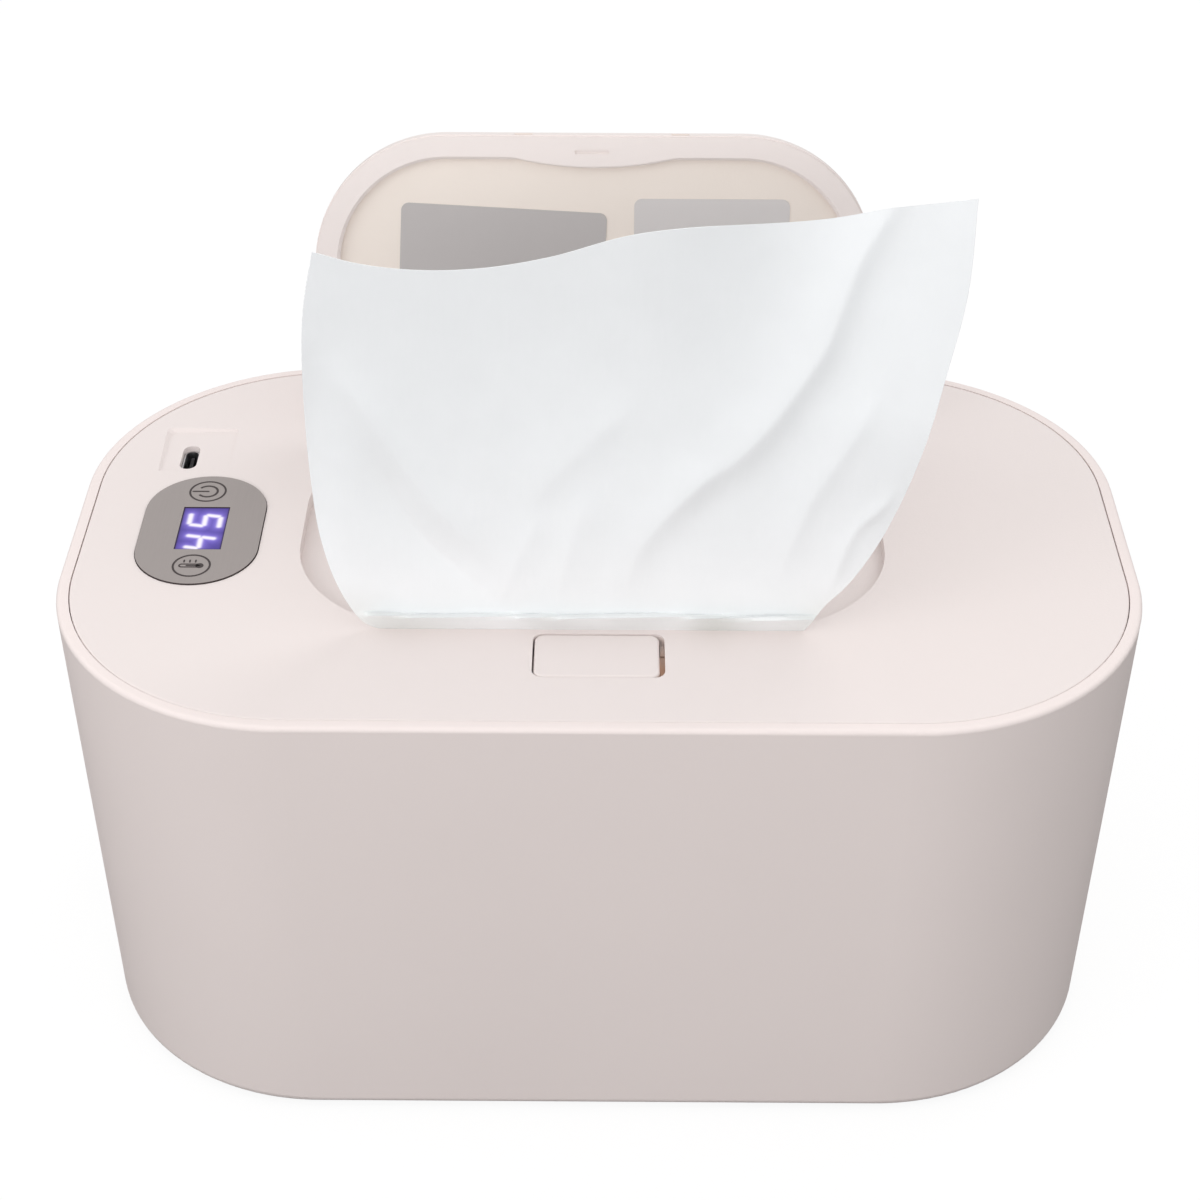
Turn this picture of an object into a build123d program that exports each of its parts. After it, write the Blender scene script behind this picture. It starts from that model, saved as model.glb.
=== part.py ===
from build123d import *
import os
from math import cos, degrees, radians, sin

# Baby wipe warmer: an open tub, a lift-off cover that carries the electronics and the heating plate,
# a sprung flip lid in the middle of the cover, and a press button that draws the lid's latch back.
# Frame: +Z up, origin at the centre of the base on the table, +X along the long side, button side at -Y.
# All sizes are in millimetres.

# ---- body ----
TOP_W, TOP_D = 210.0, 128.0        # outline at the rim
BASE_W, BASE_D = 205.2, 123.2      # outline at the bottom, drawn in by the mould's draft
TOP_R, BASE_R = 47.7, 46.3         # corner radii of the two outlines
BODY_H = 100.0                     # table to rim
BASE_Z = 0.8                       # underside of the tub: the feet lift it this much
BASE_EDGE_R, RIM_EDGE_R = 2.0, 0.9
WALL = 2.4                         # tub wall
FLOOR_T = 3.0                      # tub floor
FLOOR_CORNER_R = 4.0               # inside, between floor and wall
LEDGE_TOP = 90.0                   # step in the wall that carries the cover
LEDGE_T = 4.0
LEDGE_INSET = 5.2                  # the ledge's inner edge, measured in from the outer skin
LEDGE_SLOPE = 2.8                  # height of the slope under the ledge
FOOT_R, FOOT_T, FOOT_EDGE_R = 7.0, 2.0, 0.4
FOOT_X, FOOT_Y = 74.0, 36.0
FOOT_GAP = 0.1

# ---- cover ----
SEAM = 0.16                        # gap between the rim and the deck
PLATE_T = 2.4                      # deck plate
DECK_EDGE_R = 0.35
SKIRT_T = 2.2                      # deck skirt
SEAL_T = 1.0                       # silicone ring under the skirt
SEAL_GAP = 0.2
TRAY_INSET = 5.6                   # outside of the under tray, from the outer skin
TRAY_WALL = 1.6
TRAY_BOTTOM, TRAY_FLOOR = 82.4, 84.4
TRAY_TOP = 97.2
TRAY_EDGE_R = 1.2
BOSS_R, BOSS_BORE, BOSS_DEPTH = 3.7, 1.55, 9.0
COVER_SCREWS = [(62, 46), (-62, 46), (62, -46), (-62, -46), (26, 51), (-26, 51), (26, -51), (-26, -51)]
COVER_SCREW_HOLE = 1.7
COVER_SCREW = dict(head_r=3.0, head_t=1.8, shank_r=1.5, length=10.0)
SMALL_BOSS_R, SMALL_BORE, SMALL_BORE_DEPTH = 2.5, 1.05, 5.0
HEAD_EDGE, CROSS_W, CROSS_L, CROSS_DEPTH = 0.4, 0.3, 1.2, 0.5  # screw heads: shares of head height or radius

# ---- lid recess and dispensing opening ----
LID_X = -1.4                       # the lid and its recess sit this far off the middle
RECESS_W = 115.6
RECESS_FRONT, RECESS_BACK = -33.3, 36.7
RECESS_R = 27.9
RECESS_Z = 97.0                    # floor of the recess
RECESS_T = 2.0                     # thickness of its floor and side walls
BACK_POCKET_X = 47.0               # half width of the square back corners that the open lid turns into
BACK_POCKET_D, BACK_POCKET_R = 20.0, 2.0
BACK_WALL_REACH = 9.3              # the back wall's block starts this far in front of the recess's back
TROUGH_X, TROUGH_FRONT, TROUGH_Z = 40.0, 30.4, 94.6
THROAT_W, THROAT_D, THROAT_R = 92.0, 40.0, 17.0
THROAT_Y = -2.0
THROAT_WALL = 2.0
LIP_W, LIP_D, LIP_R = 84.0, 32.0, 13.0
RING_MARGIN, RING_T = 3.0, 0.8     # the silicone ring's flange round the throat
BEAD_T, BEAD_W, BEAD_INSET = 1.1, 1.5, 0.5
COLLAR_H, COLLAR_T, COLLAR_GAP, LIP_T = 4.0, 1.2, 0.05, 0.6

# ---- lid ----
LID_W, LID_R = 114.4, 27.3
LID_FRONT, LID_BACK = -32.7, 35.7  # closed
LID_BOTTOM, LID_TOP = 97.2, 101.0  # closed
SHELL_BOTTOM = 97.65               # underside of the outer shell, over the liner's flange
LID_PLATE_T = 1.8
LID_TOP_EDGE_R = 1.0
LID_RIM = 2.5                      # width of the shell's own rim
LINER_OUT, LINER_IN = 0.35, 5.0    # liner's outer and inner edge, from the lid's outer edge
LINER_GAP = 0.1
LINER_SLOPE = 0.6                  # width and height of the slope round the liner's inner edge
SWELL, SWELL_X = 1.7, 18.0         # how far the liner's front edge swells inwards, and over what half width
SWELL_ROOT = 1.0                   # how deep the swell's block reaches into the liner
SWELL_EDGE_R = 0.5
MARK_X0, MARK_X1 = -5.4, 1.4       # small moulded slot mark in the liner's front
MARK_IN, MARK_W, MARK_DEPTH = 3.0, 0.7, 0.4
LID_OPEN = 104.0                   # angle from closed to open, the stored pose
HINGE_Y, HINGE_Z = 33.5, 98.5
PIN_R, PIN_L = 1.2, 73.0
BARREL_R, PIN_BORE = 2.2, 1.25
BARREL_END = 36.0
POST_X0, POST_X1, POST_HALF_D = 25.0, 31.0, 2.1   # the two deck posts that hold the pin
COIL_X = 11.7                      # half width of the notch for the hinge spring
NOTCH_FRONT = 2.9                  # the lid's notches reach this far in front of the pin
HINGE_GAP = 0.4
SPRING_WIRE, SPRING_R, SPRING_HALF = 0.3, 1.75, 8.0
SPRING_START, SPRING_END, SPRING_TURNS = -90, 55, 10
SPRING_FRONT_LEG, SPRING_BACK_LEG, SPRING_LEG_SHIFT = 2.6, 3.0, 0.2
LABEL_T, LABEL_R, LABEL_D = 0.2, 1.6, 27.0
LABEL_LEFT = dict(x=-20.5, y=-4.0, w=42.0, turn=2.9)
LABEL_RIGHT = dict(x=22.5, y=-6.0, w=31.7, turn=0.0)

# ---- button and latch ----
BUTTON_X0, BUTTON_X1 = -12.0, 11.4
BUTTON_Y0, BUTTON_Y1 = -48.2, -35.0
BUTTON_T, BUTTON_R, BUTTON_EDGE_R = 1.8, 1.9, 0.6
BAY_X0, BAY_X1 = -12.3, 12.4
BAY_Y0, BAY_Y1 = -48.4, -34.8
BAY_R, BAY_LOW = 2.1, 86.0
SHELF_X, SHELF_Z0, SHELF_Z1 = 11.6, 95.0, 97.8    # shelves in the bay's right gap, before and behind the leg
SHELF_FRONT, SHELF_BACK = -44.15, -38.85
LEG_Y0, LEG_Y1, LEG_LOW = -44.0, -39.0, 96.0
LEG_T, LEG_IN = 1.4, 0.2           # side legs, and how far they stand in from the button's edges
BARB_X, BARB_RISE, BARB_TOP = 13.4, 1.0, 97.45    # barbs that hook under the deck plate
WEDGE_RATIO = 0.8                  # latch travel for each millimetre of button travel
WEDGE_Y, WEDGE_Z, WEDGE_TOP = -41.2, 93.2, 95.5   # foot and top of the wedge's working face
WEDGE_BACK, WEDGE_HALF = -40.0, 2.4
WEDGE_GAP = 0.12
YOKE_Z0, YOKE_Z1 = 91.8, 94.0
YOKE_Y0, YOKE_Y1 = -44.6, -37.5
YOKE_HOLE_BACK, YOKE_HOLE_HALF = -38.7, 3.0
NOSE_X0, NOSE_X1 = 14.4, 17.2
NOSE_TIP, NOSE_Z0, NOSE_Z1 = -33.05, 97.9, 98.9
NOSE_STEM = 2.5
CHANNEL_GAP, CHANNEL_FRONT, CHANNEL_TOP = 0.3, -41.8, 99.2
GROOVE_GAP, GROOVE_DEPTH, GROOVE_Z0, GROOVE_Z1 = 0.4, 0.8, 97.8, 99.1
HOUSING_FLOOR, HOUSING_T = 91.5, 1.5
HOUSING_X, HOUSING_WALL = 19.0, 1.4
HOUSING_Y0, HOUSING_Y1 = -51.5, -36.0
HOUSING_FRONT_TOP, HOUSING_SIDE_TOP = 96.5, 94.6
LUG_X, LUG_Y0, LUG_Y1, LUG_HOLE = 25.2, -43.0, -37.0, 1.15
LATCH_SCREW_X, LATCH_SCREW_Y = 22.5, -40.0
SMALL_SCREW = dict(head_r=1.9, head_t=1.2, shank_r=1.0)
LATCH_SCREW_L, BOARD_SCREW_L = 5.0, 6.0
BUTTON_SPRING = dict(r=1.2, wire=0.2, turns=6)
BUTTON_SPRING_X, BUTTON_SPRING_Y = 8.5, -46.8
LATCH_SPRING = dict(r=0.8, wire=0.15, z0=0, z1=5.4, turns=7)
LATCH_SPRING_Y, LATCH_SPRING_Z = -44.6, 92.9

# ---- left end: touch panel, display, port ----
PANEL_X, PANEL_Y = -79.5, -0.55
PANEL_W, PANEL_L, PANEL_T = 24.2, 38.3, 0.6
PANEL_RISE = 0.3                   # the panel stands this much above the deck
PANEL_GAP = 0.15
WINDOW_X, WINDOW_Y = -79.35, -0.4
WINDOW_W, WINDOW_L = 9.3, 15.1
MODULE_MARGIN, MODULE_TOP = 0.35, 98.7
MODULE_SIDE = 0.07                 # the display module's edges, out from the window's
LENS_GAP, LENS_Z0, LENS_Z1 = 0.05, 99.5, 100.15
KEYS = [(-80.0, 12.9), (-79.7, -13.6)]
KEY_SPRING = dict(r=2.4, wire=0.25, turns=5)
KEY_SPRING_GAP = 0.05
PORT_X, PORT_Y = -85.7, 26.95
SLOT_W, SLOT_L = 3.5, 9.2
PORT_MOUTH = 98.3
PORT_OUT_W, PORT_OUT_L, PORT_WALL, PORT_BACK_T = 3.2, 8.9, 0.3, 1.2
TONGUE_HALF_W, TONGUE_HALF_L, TONGUE_SHORT = 0.35, 3.3, 1.0
TONGUE_GAP = 0.05
DISH_X0, DISH_Y1, DISH_DEPTH = -91.9, 38.2, 0.9   # shallow sloping dish round the port
DISH_W, DISH_L, DISH_CORNER_R = 15.0, 17.0, 1.6
BOARD_X, BOARD_Y, BOARD_W, BOARD_L, BOARD_R = -79.5, 4.5, 27.0, 59.0, 8.0
BOARD_Z0, BOARD_Z1 = 89.0, 90.6
BOARD_HOLE = 1.2
BOARD_SCREWS = [(-89.8, -18.5), (-69.3, -18.5), (-69.3, 28.0), (-90.3, 13.0)]
CHIP = dict(x0=-83.5, x1=-75.5, y0=2.0, y1=9.0, height=1.6)
TRANSISTOR = dict(x0=-73.5, x1=-68.5, y0=8.0, y1=14.5, height=2.2)
BUZZER_X, BUZZER_Y, BUZZER_R, BUZZER_H, BUZZER_HOLE_R, BUZZER_HOLE_H = -82.0, -12.0, 4.5, 4.0, 0.8, 1.0
PLUG = dict(x0=-70.6, x1=-66.1, y0=16.5, y1=24.5, height=4.0)
PLUG_ROWS = [18.2, 20.5, 22.8]
PLUG_SLOT_HALF, PLUG_SLOT_DEPTH, PLUG_SLOT_LOW, PLUG_SLOT_HIGH = 0.8, 1.5, 3.2, 0.9

# ---- heating stack under the tray ----
HEAT_W, HEAT_D, HEAT_R = 168.0, 84.0, 30.0
HEAT_HOLE_W, HEAT_HOLE_D, HEAT_HOLE_R = 94.0, 42.0, 18.0
PAD_T, FILM_T, PLATE_AL_T = 1.4, 0.2, 1.2
PAD_INSET, FILM_INSET = 1.5, 2.5
PLATE_SCREWS = [(74, 24), (-74, 24), (74, -24), (-74, -24), (0, 33), (0, -34)]
PLATE_SCREW_HOLE = 1.5
PLATE_SCREW = dict(head_r=2.4, head_t=1.3, shank_r=1.2, length=5.0)
PLATE_BOSS_R, PLATE_BOSS_H, PLATE_BORE, PLATE_BORE_H = 2.8, 3.4, 1.3, 2.6
SENSOR_X, SENSOR_Y = -58.0, 22.0   # window in tray and pad, over the film
SENSOR_HALF_W, SENSOR_HALF_L = 6.0, 7.0
THERMISTOR_W, THERMISTOR_L, THERMISTOR_H = 4.0, 3.0, 2.2
THERMISTOR_DX, THERMISTOR_DY = 0.6, 2.0    # its near corner, from the window's middle
FUSE_R, FUSE_L = 1.2, 6.5
FUSE_DX, FUSE_DY = 2.6, -2.5       # its middle, from the window's middle
LEAD_R, LEAD_BEND, LEAD_DROP = 0.55, 0.9, 2.0
LEAD_SAG = 0.6
LEAD_START = 0.1                   # the leads start this far in front of the plug slots' ends
LEAD_RUN_OUT, LEAD_RUN_DOWN = 3.3, 2.0     # their level lengths, out of the plug and before the film
LEAD_END = 1.5                     # the leads meet the film this far left of the window's middle
SENSOR_LEAD_SHIFT = 2.6

# ---- the wipe that stands out of the opening ----
WIPE_T = 1.6                       # stand-in thickness that stands for the creased leaf's depth
WIPE_Y, WIPE_Z = -32.4, 99.0       # foot of the leaf's middle plane
WIPE_LEAN = 5.7                    # degrees, backwards
NECK_X, NECK_LOW = 27.0, 86.0
NECK_OVER = 2.1                    # underside of the neck above the recess floor
NECK_SET_BACK, NECK_INSIDE = 0.3, 0.6      # behind the leaf's face, and inside the opening's front edge
# outline of the leaf in its own plane: X, and height above the foot
WIPE_LEFT = [(-42, 1.8), (-48.2, 8.5), (-52.6, 36), (-52.4, 60), (-49.8, 75.8)]
WIPE_TOP_EDGE = [(-49.8, 75.8), (-30, 72.9), (-9, 75.5), (14, 81), (40, 84.2), (65.4, 87.2)]
WIPE_RIGHT = [(65.4, 87.2), (61, 52.4), (54.3, 26.3), (45.6, 9.5), (39, 1.8)]

# ---- heights and places that follow from the sizes above ----
PLATE_LOW = BODY_H - PLATE_T
SKIRT_INSET = WALL + SEAM
SKIRT_LOW = LEDGE_TOP + SEAL_T
DISH_FLOOR = LID_TOP - LID_PLATE_T  # underside of the closed lid's plate
BUTTON_LOW = BODY_H - BUTTON_T
PAD_LOW = TRAY_BOTTOM - PAD_T
FILM_LOW = PAD_LOW - FILM_T
HEAT_LOW = FILM_LOW - PLATE_AL_T
RECESS_MID, RECESS_SPAN = (RECESS_FRONT + RECESS_BACK) / 2, RECESS_BACK - RECESS_FRONT
EPS = 1.0                          # how far a cut runs past the face it opens
FULL_ROUND = 0.01                  # a round end's radius is this much under half the width

PARTS = {}


# ---------------------------------------------------------------- shared shapes
def block(x0, x1, y0, y1, z0, z1):
    return Pos((x0 + x1) / 2, (y0 + y1) / 2, (z0 + z1) / 2) * Box(x1 - x0, y1 - y0, z1 - z0)


def mirrored(x_in, x_out, y0, y1, z0, z1):
    """The same block on both sides of the middle."""
    return block(x_in, x_out, y0, y1, z0, z1) + block(-x_out, -x_in, y0, y1, z0, z1)


def post(x, y, r, z0, z1):
    return Pos(x, y, (z0 + z1) / 2) * Cylinder(r, z1 - z0)


def slab(x, y, w, d, r, z0, z1):
    return Pos(x, y, z0) * extrude(RectangleRounded(w, d, r), amount=z1 - z0)


def round_ended(x, y, w, length, z0, z1):
    """A slab along Y with fully rounded ends."""
    return slab(x, y, w, length, w / 2 - FULL_ROUND, z0, z1)


def section(z, inset):
    """The body's rounded outline at height z, drawn in by inset."""
    rise = (z - BASE_Z) / (BODY_H - BASE_Z)
    w = BASE_W + (TOP_W - BASE_W) * rise - 2 * inset
    d = BASE_D + (TOP_D - BASE_D) * rise - 2 * inset
    r = BASE_R + (TOP_R - BASE_R) * rise - inset
    return Pos(0, 0, z) * RectangleRounded(w, d, r)


def shell(z0, z1, inset0, inset1=None):
    """A solid that fills the body's outline between two heights."""
    return loft([section(z0, inset0), section(z1, inset0 if inset1 is None else inset1)], ruled=True)


def throat(margin, z0, z1):
    """A rounded block over the dispensing throat, wider than it by margin all round."""
    return slab(0, THROAT_Y, THROAT_W + 2 * margin, THROAT_D + 2 * margin, THROAT_R + margin, z0, z1)


def lid_section(inset, z):
    """The closed lid's outline at height z, drawn in by inset."""
    outline = RectangleRounded(LID_W - 2 * inset, LID_BACK - LID_FRONT - 2 * inset, LID_R - inset)
    return Pos(LID_X, (LID_BACK + LID_FRONT) / 2, z) * outline


def lid_outline(inset, z0, z1):
    return extrude(lid_section(inset, z0), amount=z1 - z0)


def along_x(x0, x1, r):
    """A cylinder on the hinge line."""
    return Pos((x0 + x1) / 2, HINGE_Y, HINGE_Z) * Rot(0, 90, 0) * Cylinder(r, x1 - x0)


def opened(solid):
    """Turns a lid piece from closed to open about the hinge line."""
    return Pos(0, HINGE_Y, HINGE_Z) * Rot(-LID_OPEN, 0, 0) * Pos(0, -HINGE_Y, -HINGE_Z) * solid


def coil(r, wire, z0, z1, turns):
    """A closed-end coil spring standing on the origin's Z axis from z0 to z1."""
    height = z1 - z0 - 2 * wire
    path = Helix(pitch=height / turns, height=height, radius=r)
    start = Plane(origin=path @ 0, z_dir=path % 0)
    turn = sweep(start * Circle(wire), path=path, is_frenet=True)
    ring = Torus(r, wire)
    return Pos(0, 0, z0 + wire) * (turn + ring + Pos(0, 0, height) * ring)


def coils(places, z0, z1, size):
    return Compound(children=[Pos(x, y, 0) * coil(z0=z0, z1=z1, **size) for x, y in places])


def screw(x, y, z, head_r, head_t, shank_r, length):
    """A pan head screw driven upwards: its head hangs below z, its shank rises above it."""
    head = post(x, y, head_r, z - head_t, z)
    rim = head.edges().filter_by(GeomType.CIRCLE).sort_by(Axis.Z)[0]
    head = fillet(rim, head_t * HEAD_EDGE)
    cross_h = head_t * CROSS_DEPTH
    bar = Box(head_r * CROSS_L, head_r * CROSS_W, cross_h)
    for turn in (0, 90):
        head -= Pos(x, y, z - head_t + cross_h / 2) * Rot(0, 0, turn) * bar
    return head + post(x, y, shank_r, z, z + length)


def screws(places, z, size, length=None):
    size = size if length is None else dict(size, length=length)
    return Compound(children=[screw(x, y, z, **size) for x, y in places])


def under_board(part):
    """A block that hangs under the control board."""
    return block(part["x0"], part["x1"], part["y0"], part["y1"], BOARD_Z0 - part["height"], BOARD_Z0)


def save(name, solid, colour):
    PARTS[name] = (solid, colour)


# ---------------------------------------------------------------- tub
def make_tub():
    body = shell(BASE_Z, BODY_H, 0)
    body = fillet(body.edges().group_by(Axis.Z)[0], BASE_EDGE_R)
    body = fillet(body.edges().group_by(Axis.Z)[-1], RIM_EDGE_R)
    ledge_low = LEDGE_TOP - LEDGE_T
    slope_low = ledge_low - LEDGE_SLOPE
    room = shell(BASE_Z + FLOOR_T, slope_low, WALL)
    room = fillet(room.edges().group_by(Axis.Z)[0], FLOOR_CORNER_R)
    room += shell(slope_low, ledge_low, WALL, LEDGE_INSET)
    room += shell(ledge_low, LEDGE_TOP, LEDGE_INSET)
    room += shell(LEDGE_TOP, BODY_H, WALL)
    body -= room
    for x, y in foot_places():
        body -= post(x, y, FOOT_R, BASE_Z, FOOT_T)
    return body


def foot_places():
    return [(sx * FOOT_X, sy * FOOT_Y) for sx in (-1, 1) for sy in (-1, 1)]


def make_feet():
    feet = []
    for x, y in foot_places():
        foot = post(x, y, FOOT_R - FOOT_GAP, 0, FOOT_T)
        feet.append(fillet(foot.edges().filter_by(GeomType.CIRCLE).sort_by(Axis.Z)[0], FOOT_EDGE_R))
    return Compound(children=feet)


# ---------------------------------------------------------------- cover
def make_deck():
    deck = shell(PLATE_LOW, BODY_H, SKIRT_INSET)
    deck = fillet(deck.edges().group_by(Axis.Z)[-1], DECK_EDGE_R)
    deck += shell(SKIRT_LOW, PLATE_LOW, SKIRT_INSET) - shell(SKIRT_LOW, PLATE_LOW, SKIRT_INSET + SKIRT_T)
    deck = add_recess_walls(deck)
    deck = add_bosses(deck)
    deck = cut_recess(deck)
    deck = cut_latch_bay(deck)
    deck = cut_left_end(deck)
    return add_hinge_posts(deck)


def add_recess_walls(deck):
    low = RECESS_Z - RECESS_T
    deck += slab(LID_X, RECESS_MID, RECESS_W + 2 * RECESS_T, RECESS_SPAN + 2 * RECESS_T, RECESS_R + RECESS_T,
                 low, PLATE_LOW)
    pocket = BACK_POCKET_X + RECESS_T
    back = RECESS_BACK + RECESS_T
    deck += block(-pocket, pocket, RECESS_BACK - BACK_WALL_REACH, back, low, PLATE_LOW)
    trough = TROUGH_X + RECESS_T
    deck += block(-trough, trough, TROUGH_FRONT - RECESS_T, back, TROUGH_Z - RECESS_T, RECESS_Z)
    return deck + throat(THROAT_WALL, TRAY_FLOOR, RECESS_Z)


def latch_screw_places():
    return [(sx * LATCH_SCREW_X, LATCH_SCREW_Y) for sx in (-1, 1)]


def add_bosses(deck):
    for x, y in COVER_SCREWS:
        deck += post(x, y, BOSS_R, TRAY_FLOOR, PLATE_LOW)
        deck -= post(x, y, BOSS_BORE, TRAY_FLOOR, TRAY_FLOOR + BOSS_DEPTH)
    for places, low in ((BOARD_SCREWS, BOARD_Z1), (latch_screw_places(), HOUSING_FLOOR + HOUSING_T)):
        for x, y in places:
            deck += post(x, y, SMALL_BOSS_R, low, PLATE_LOW)
            deck -= post(x, y, SMALL_BORE, low, low + SMALL_BORE_DEPTH)
    return deck


def cut_recess(deck):
    top = BODY_H + EPS
    deck -= slab(LID_X, RECESS_MID, RECESS_W, RECESS_SPAN, RECESS_R, RECESS_Z, top)
    pocket_y = RECESS_BACK - BACK_POCKET_D / 2
    deck -= slab(0, pocket_y, 2 * BACK_POCKET_X, BACK_POCKET_D, BACK_POCKET_R, RECESS_Z, top)
    deck -= block(-TROUGH_X, TROUGH_X, TROUGH_FRONT, RECESS_BACK, TROUGH_Z, BODY_H)
    return deck - throat(0, TRAY_FLOOR - EPS, BODY_H)


def cut_latch_bay(deck):
    mid = ((BAY_X0 + BAY_X1) / 2, (BAY_Y0 + BAY_Y1) / 2)
    bay = slab(*mid, BAY_X1 - BAY_X0, BAY_Y1 - BAY_Y0, BAY_R, BAY_LOW, BODY_H + EPS)
    shelves = block(SHELF_X, BAY_X1, BAY_Y0, SHELF_FRONT, SHELF_Z0, SHELF_Z1)
    shelves += block(SHELF_X, BAY_X1, SHELF_BACK, BAY_Y1, SHELF_Z0, SHELF_Z1)
    deck = deck - bay + shelves
    return deck - mirrored(NOSE_X0 - CHANNEL_GAP, NOSE_X1 + CHANNEL_GAP, CHANNEL_FRONT, RECESS_FRONT + EPS,
                           PLATE_LOW, CHANNEL_TOP)


def cut_left_end(deck):
    deck -= round_ended(PANEL_X, PANEL_Y, PANEL_W + 2 * PANEL_GAP, PANEL_L + 2 * PANEL_GAP,
                        BODY_H - PANEL_T, BODY_H + EPS)
    half_w, half_l = WINDOW_W / 2 + 2 * MODULE_MARGIN, WINDOW_L / 2 + MODULE_MARGIN
    deck -= block(WINDOW_X - half_w, WINDOW_X + half_w, WINDOW_Y - half_l, WINDOW_Y + half_l,
                  BOARD_Z0, BODY_H)
    deck -= port_dish()
    return deck - round_ended(PORT_X, PORT_Y, SLOT_W, SLOT_L, BOARD_Z0, BODY_H + EPS)


def add_hinge_posts(deck):
    deck += mirrored(POST_X0, POST_X1, HINGE_Y - POST_HALF_D, HINGE_Y + POST_HALF_D,
                     TROUGH_Z - RECESS_T / 2, HINGE_Z)
    for sx in (-1, 1):
        deck += along_x(*sorted([sx * POST_X0, sx * POST_X1]), POST_HALF_D)
    return deck - along_x(-TROUGH_X, TROUGH_X, PIN_BORE)


def port_dish():
    """A shallow dish with sloping walls at its left and back, that runs out towards the front and right."""
    box = Pos(DISH_W / 2, -DISH_L / 2, BODY_H / 2) * Box(DISH_W, DISH_L, BODY_H)
    corner = box.edges().filter_by(Axis.Z).sort_by(Axis.X)[:2].sort_by(Axis.Y)[-1]
    box = fillet(corner, DISH_CORNER_R)
    walls = [edge for edge in box.edges().group_by(Axis.Z)[0]
             if edge.center().X < DISH_W - EPS and edge.center().Y > EPS - DISH_L]
    box = chamfer(walls, DISH_DEPTH)
    tilt_x = degrees(DISH_DEPTH / 2 / DISH_L)
    tilt_y = degrees(DISH_DEPTH / 2 / DISH_W)
    return Pos(DISH_X0, DISH_Y1, BODY_H - DISH_DEPTH) * Rot(-tilt_x, -tilt_y, 0) * box


def make_cover_seal():
    seal = shell(LEDGE_TOP, SKIRT_LOW, SKIRT_INSET + SEAL_GAP)
    return seal - shell(LEDGE_TOP, SKIRT_LOW, SKIRT_INSET + SKIRT_T)


def sensor_window(z0, z1):
    return block(SENSOR_X - SENSOR_HALF_W, SENSOR_X + SENSOR_HALF_W, SENSOR_Y - SENSOR_HALF_L,
                 SENSOR_Y + SENSOR_HALF_L, z0, z1)


def make_tray():
    tray = shell(TRAY_BOTTOM, TRAY_TOP, TRAY_INSET)
    tray = fillet(tray.edges().group_by(Axis.Z)[0], TRAY_EDGE_R)
    tray -= shell(TRAY_FLOOR, TRAY_TOP, TRAY_INSET + TRAY_WALL)
    for x, y in PLATE_SCREWS:
        tray += post(x, y, PLATE_BOSS_R, TRAY_FLOOR, TRAY_FLOOR + PLATE_BOSS_H)
    tray -= throat(0, TRAY_BOTTOM, TRAY_FLOOR)
    for x, y in COVER_SCREWS:
        tray -= post(x, y, COVER_SCREW_HOLE, TRAY_BOTTOM, TRAY_FLOOR)
    for x, y in PLATE_SCREWS:
        tray -= post(x, y, PLATE_BORE, TRAY_BOTTOM, TRAY_FLOOR + PLATE_BORE_H)
    return tray - sensor_window(TRAY_BOTTOM, TRAY_FLOOR)


def heat_layer(z0, z1, inset):
    """A layer of the heating stack, drawn in from the aluminium plate's edges."""
    layer = slab(0, 0, HEAT_W - 2 * inset, HEAT_D - 2 * inset, HEAT_R - inset, z0, z1)
    layer -= slab(0, THROAT_Y, HEAT_HOLE_W + 2 * inset, HEAT_HOLE_D + 2 * inset, HEAT_HOLE_R + inset, z0, z1)
    for x, y in PLATE_SCREWS:
        layer -= post(x, y, PLATE_SCREW_HOLE + inset, z0, z1)
    return layer


def make_ring():
    """Silicone insert: flange on the recess floor, collar in the throat, soft lips round the opening."""
    flange_top = RECESS_Z + RING_T
    bead_out = RING_MARGIN - BEAD_INSET
    ring = throat(RING_MARGIN, RECESS_Z, flange_top)
    ring += throat(bead_out, flange_top, flange_top + BEAD_T)
    ring -= throat(bead_out - BEAD_W, flange_top, flange_top + BEAD_T)
    ring += throat(-COLLAR_GAP, RECESS_Z - COLLAR_H, RECESS_Z)
    ring -= throat(-COLLAR_T, RECESS_Z - COLLAR_H, RECESS_Z - LIP_T)
    return ring - slab(0, THROAT_Y, LIP_W, LIP_D, LIP_R, RECESS_Z - COLLAR_H, flange_top + BEAD_T)


# ---------------------------------------------------------------- electronics
def make_board():
    board = slab(BOARD_X, BOARD_Y, BOARD_W, BOARD_L, BOARD_R, BOARD_Z0, BOARD_Z1)
    for x, y in BOARD_SCREWS:
        board -= post(x, y, BOARD_HOLE, BOARD_Z0, BOARD_Z1)
    return board


def window_block(margin, z0, z1):
    half_w, half_l = WINDOW_W / 2 + margin, WINDOW_L / 2 + margin
    return block(WINDOW_X - half_w, WINDOW_X + half_w, WINDOW_Y - half_l, WINDOW_Y + half_l, z0, z1)


def make_panel():
    low, high = BODY_H - PANEL_T, BODY_H + PANEL_RISE
    return round_ended(PANEL_X, PANEL_Y, PANEL_W, PANEL_L, low, high) - window_block(0, low, high)


def make_usb_shell():
    outer = round_ended(PORT_X, PORT_Y, PORT_OUT_W, PORT_OUT_L, BOARD_Z1, PORT_MOUTH)
    return outer - round_ended(PORT_X, PORT_Y, PORT_OUT_W - 2 * PORT_WALL, PORT_OUT_L - 2 * PORT_WALL,
                               BOARD_Z1 + PORT_BACK_T, PORT_MOUTH)


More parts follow.
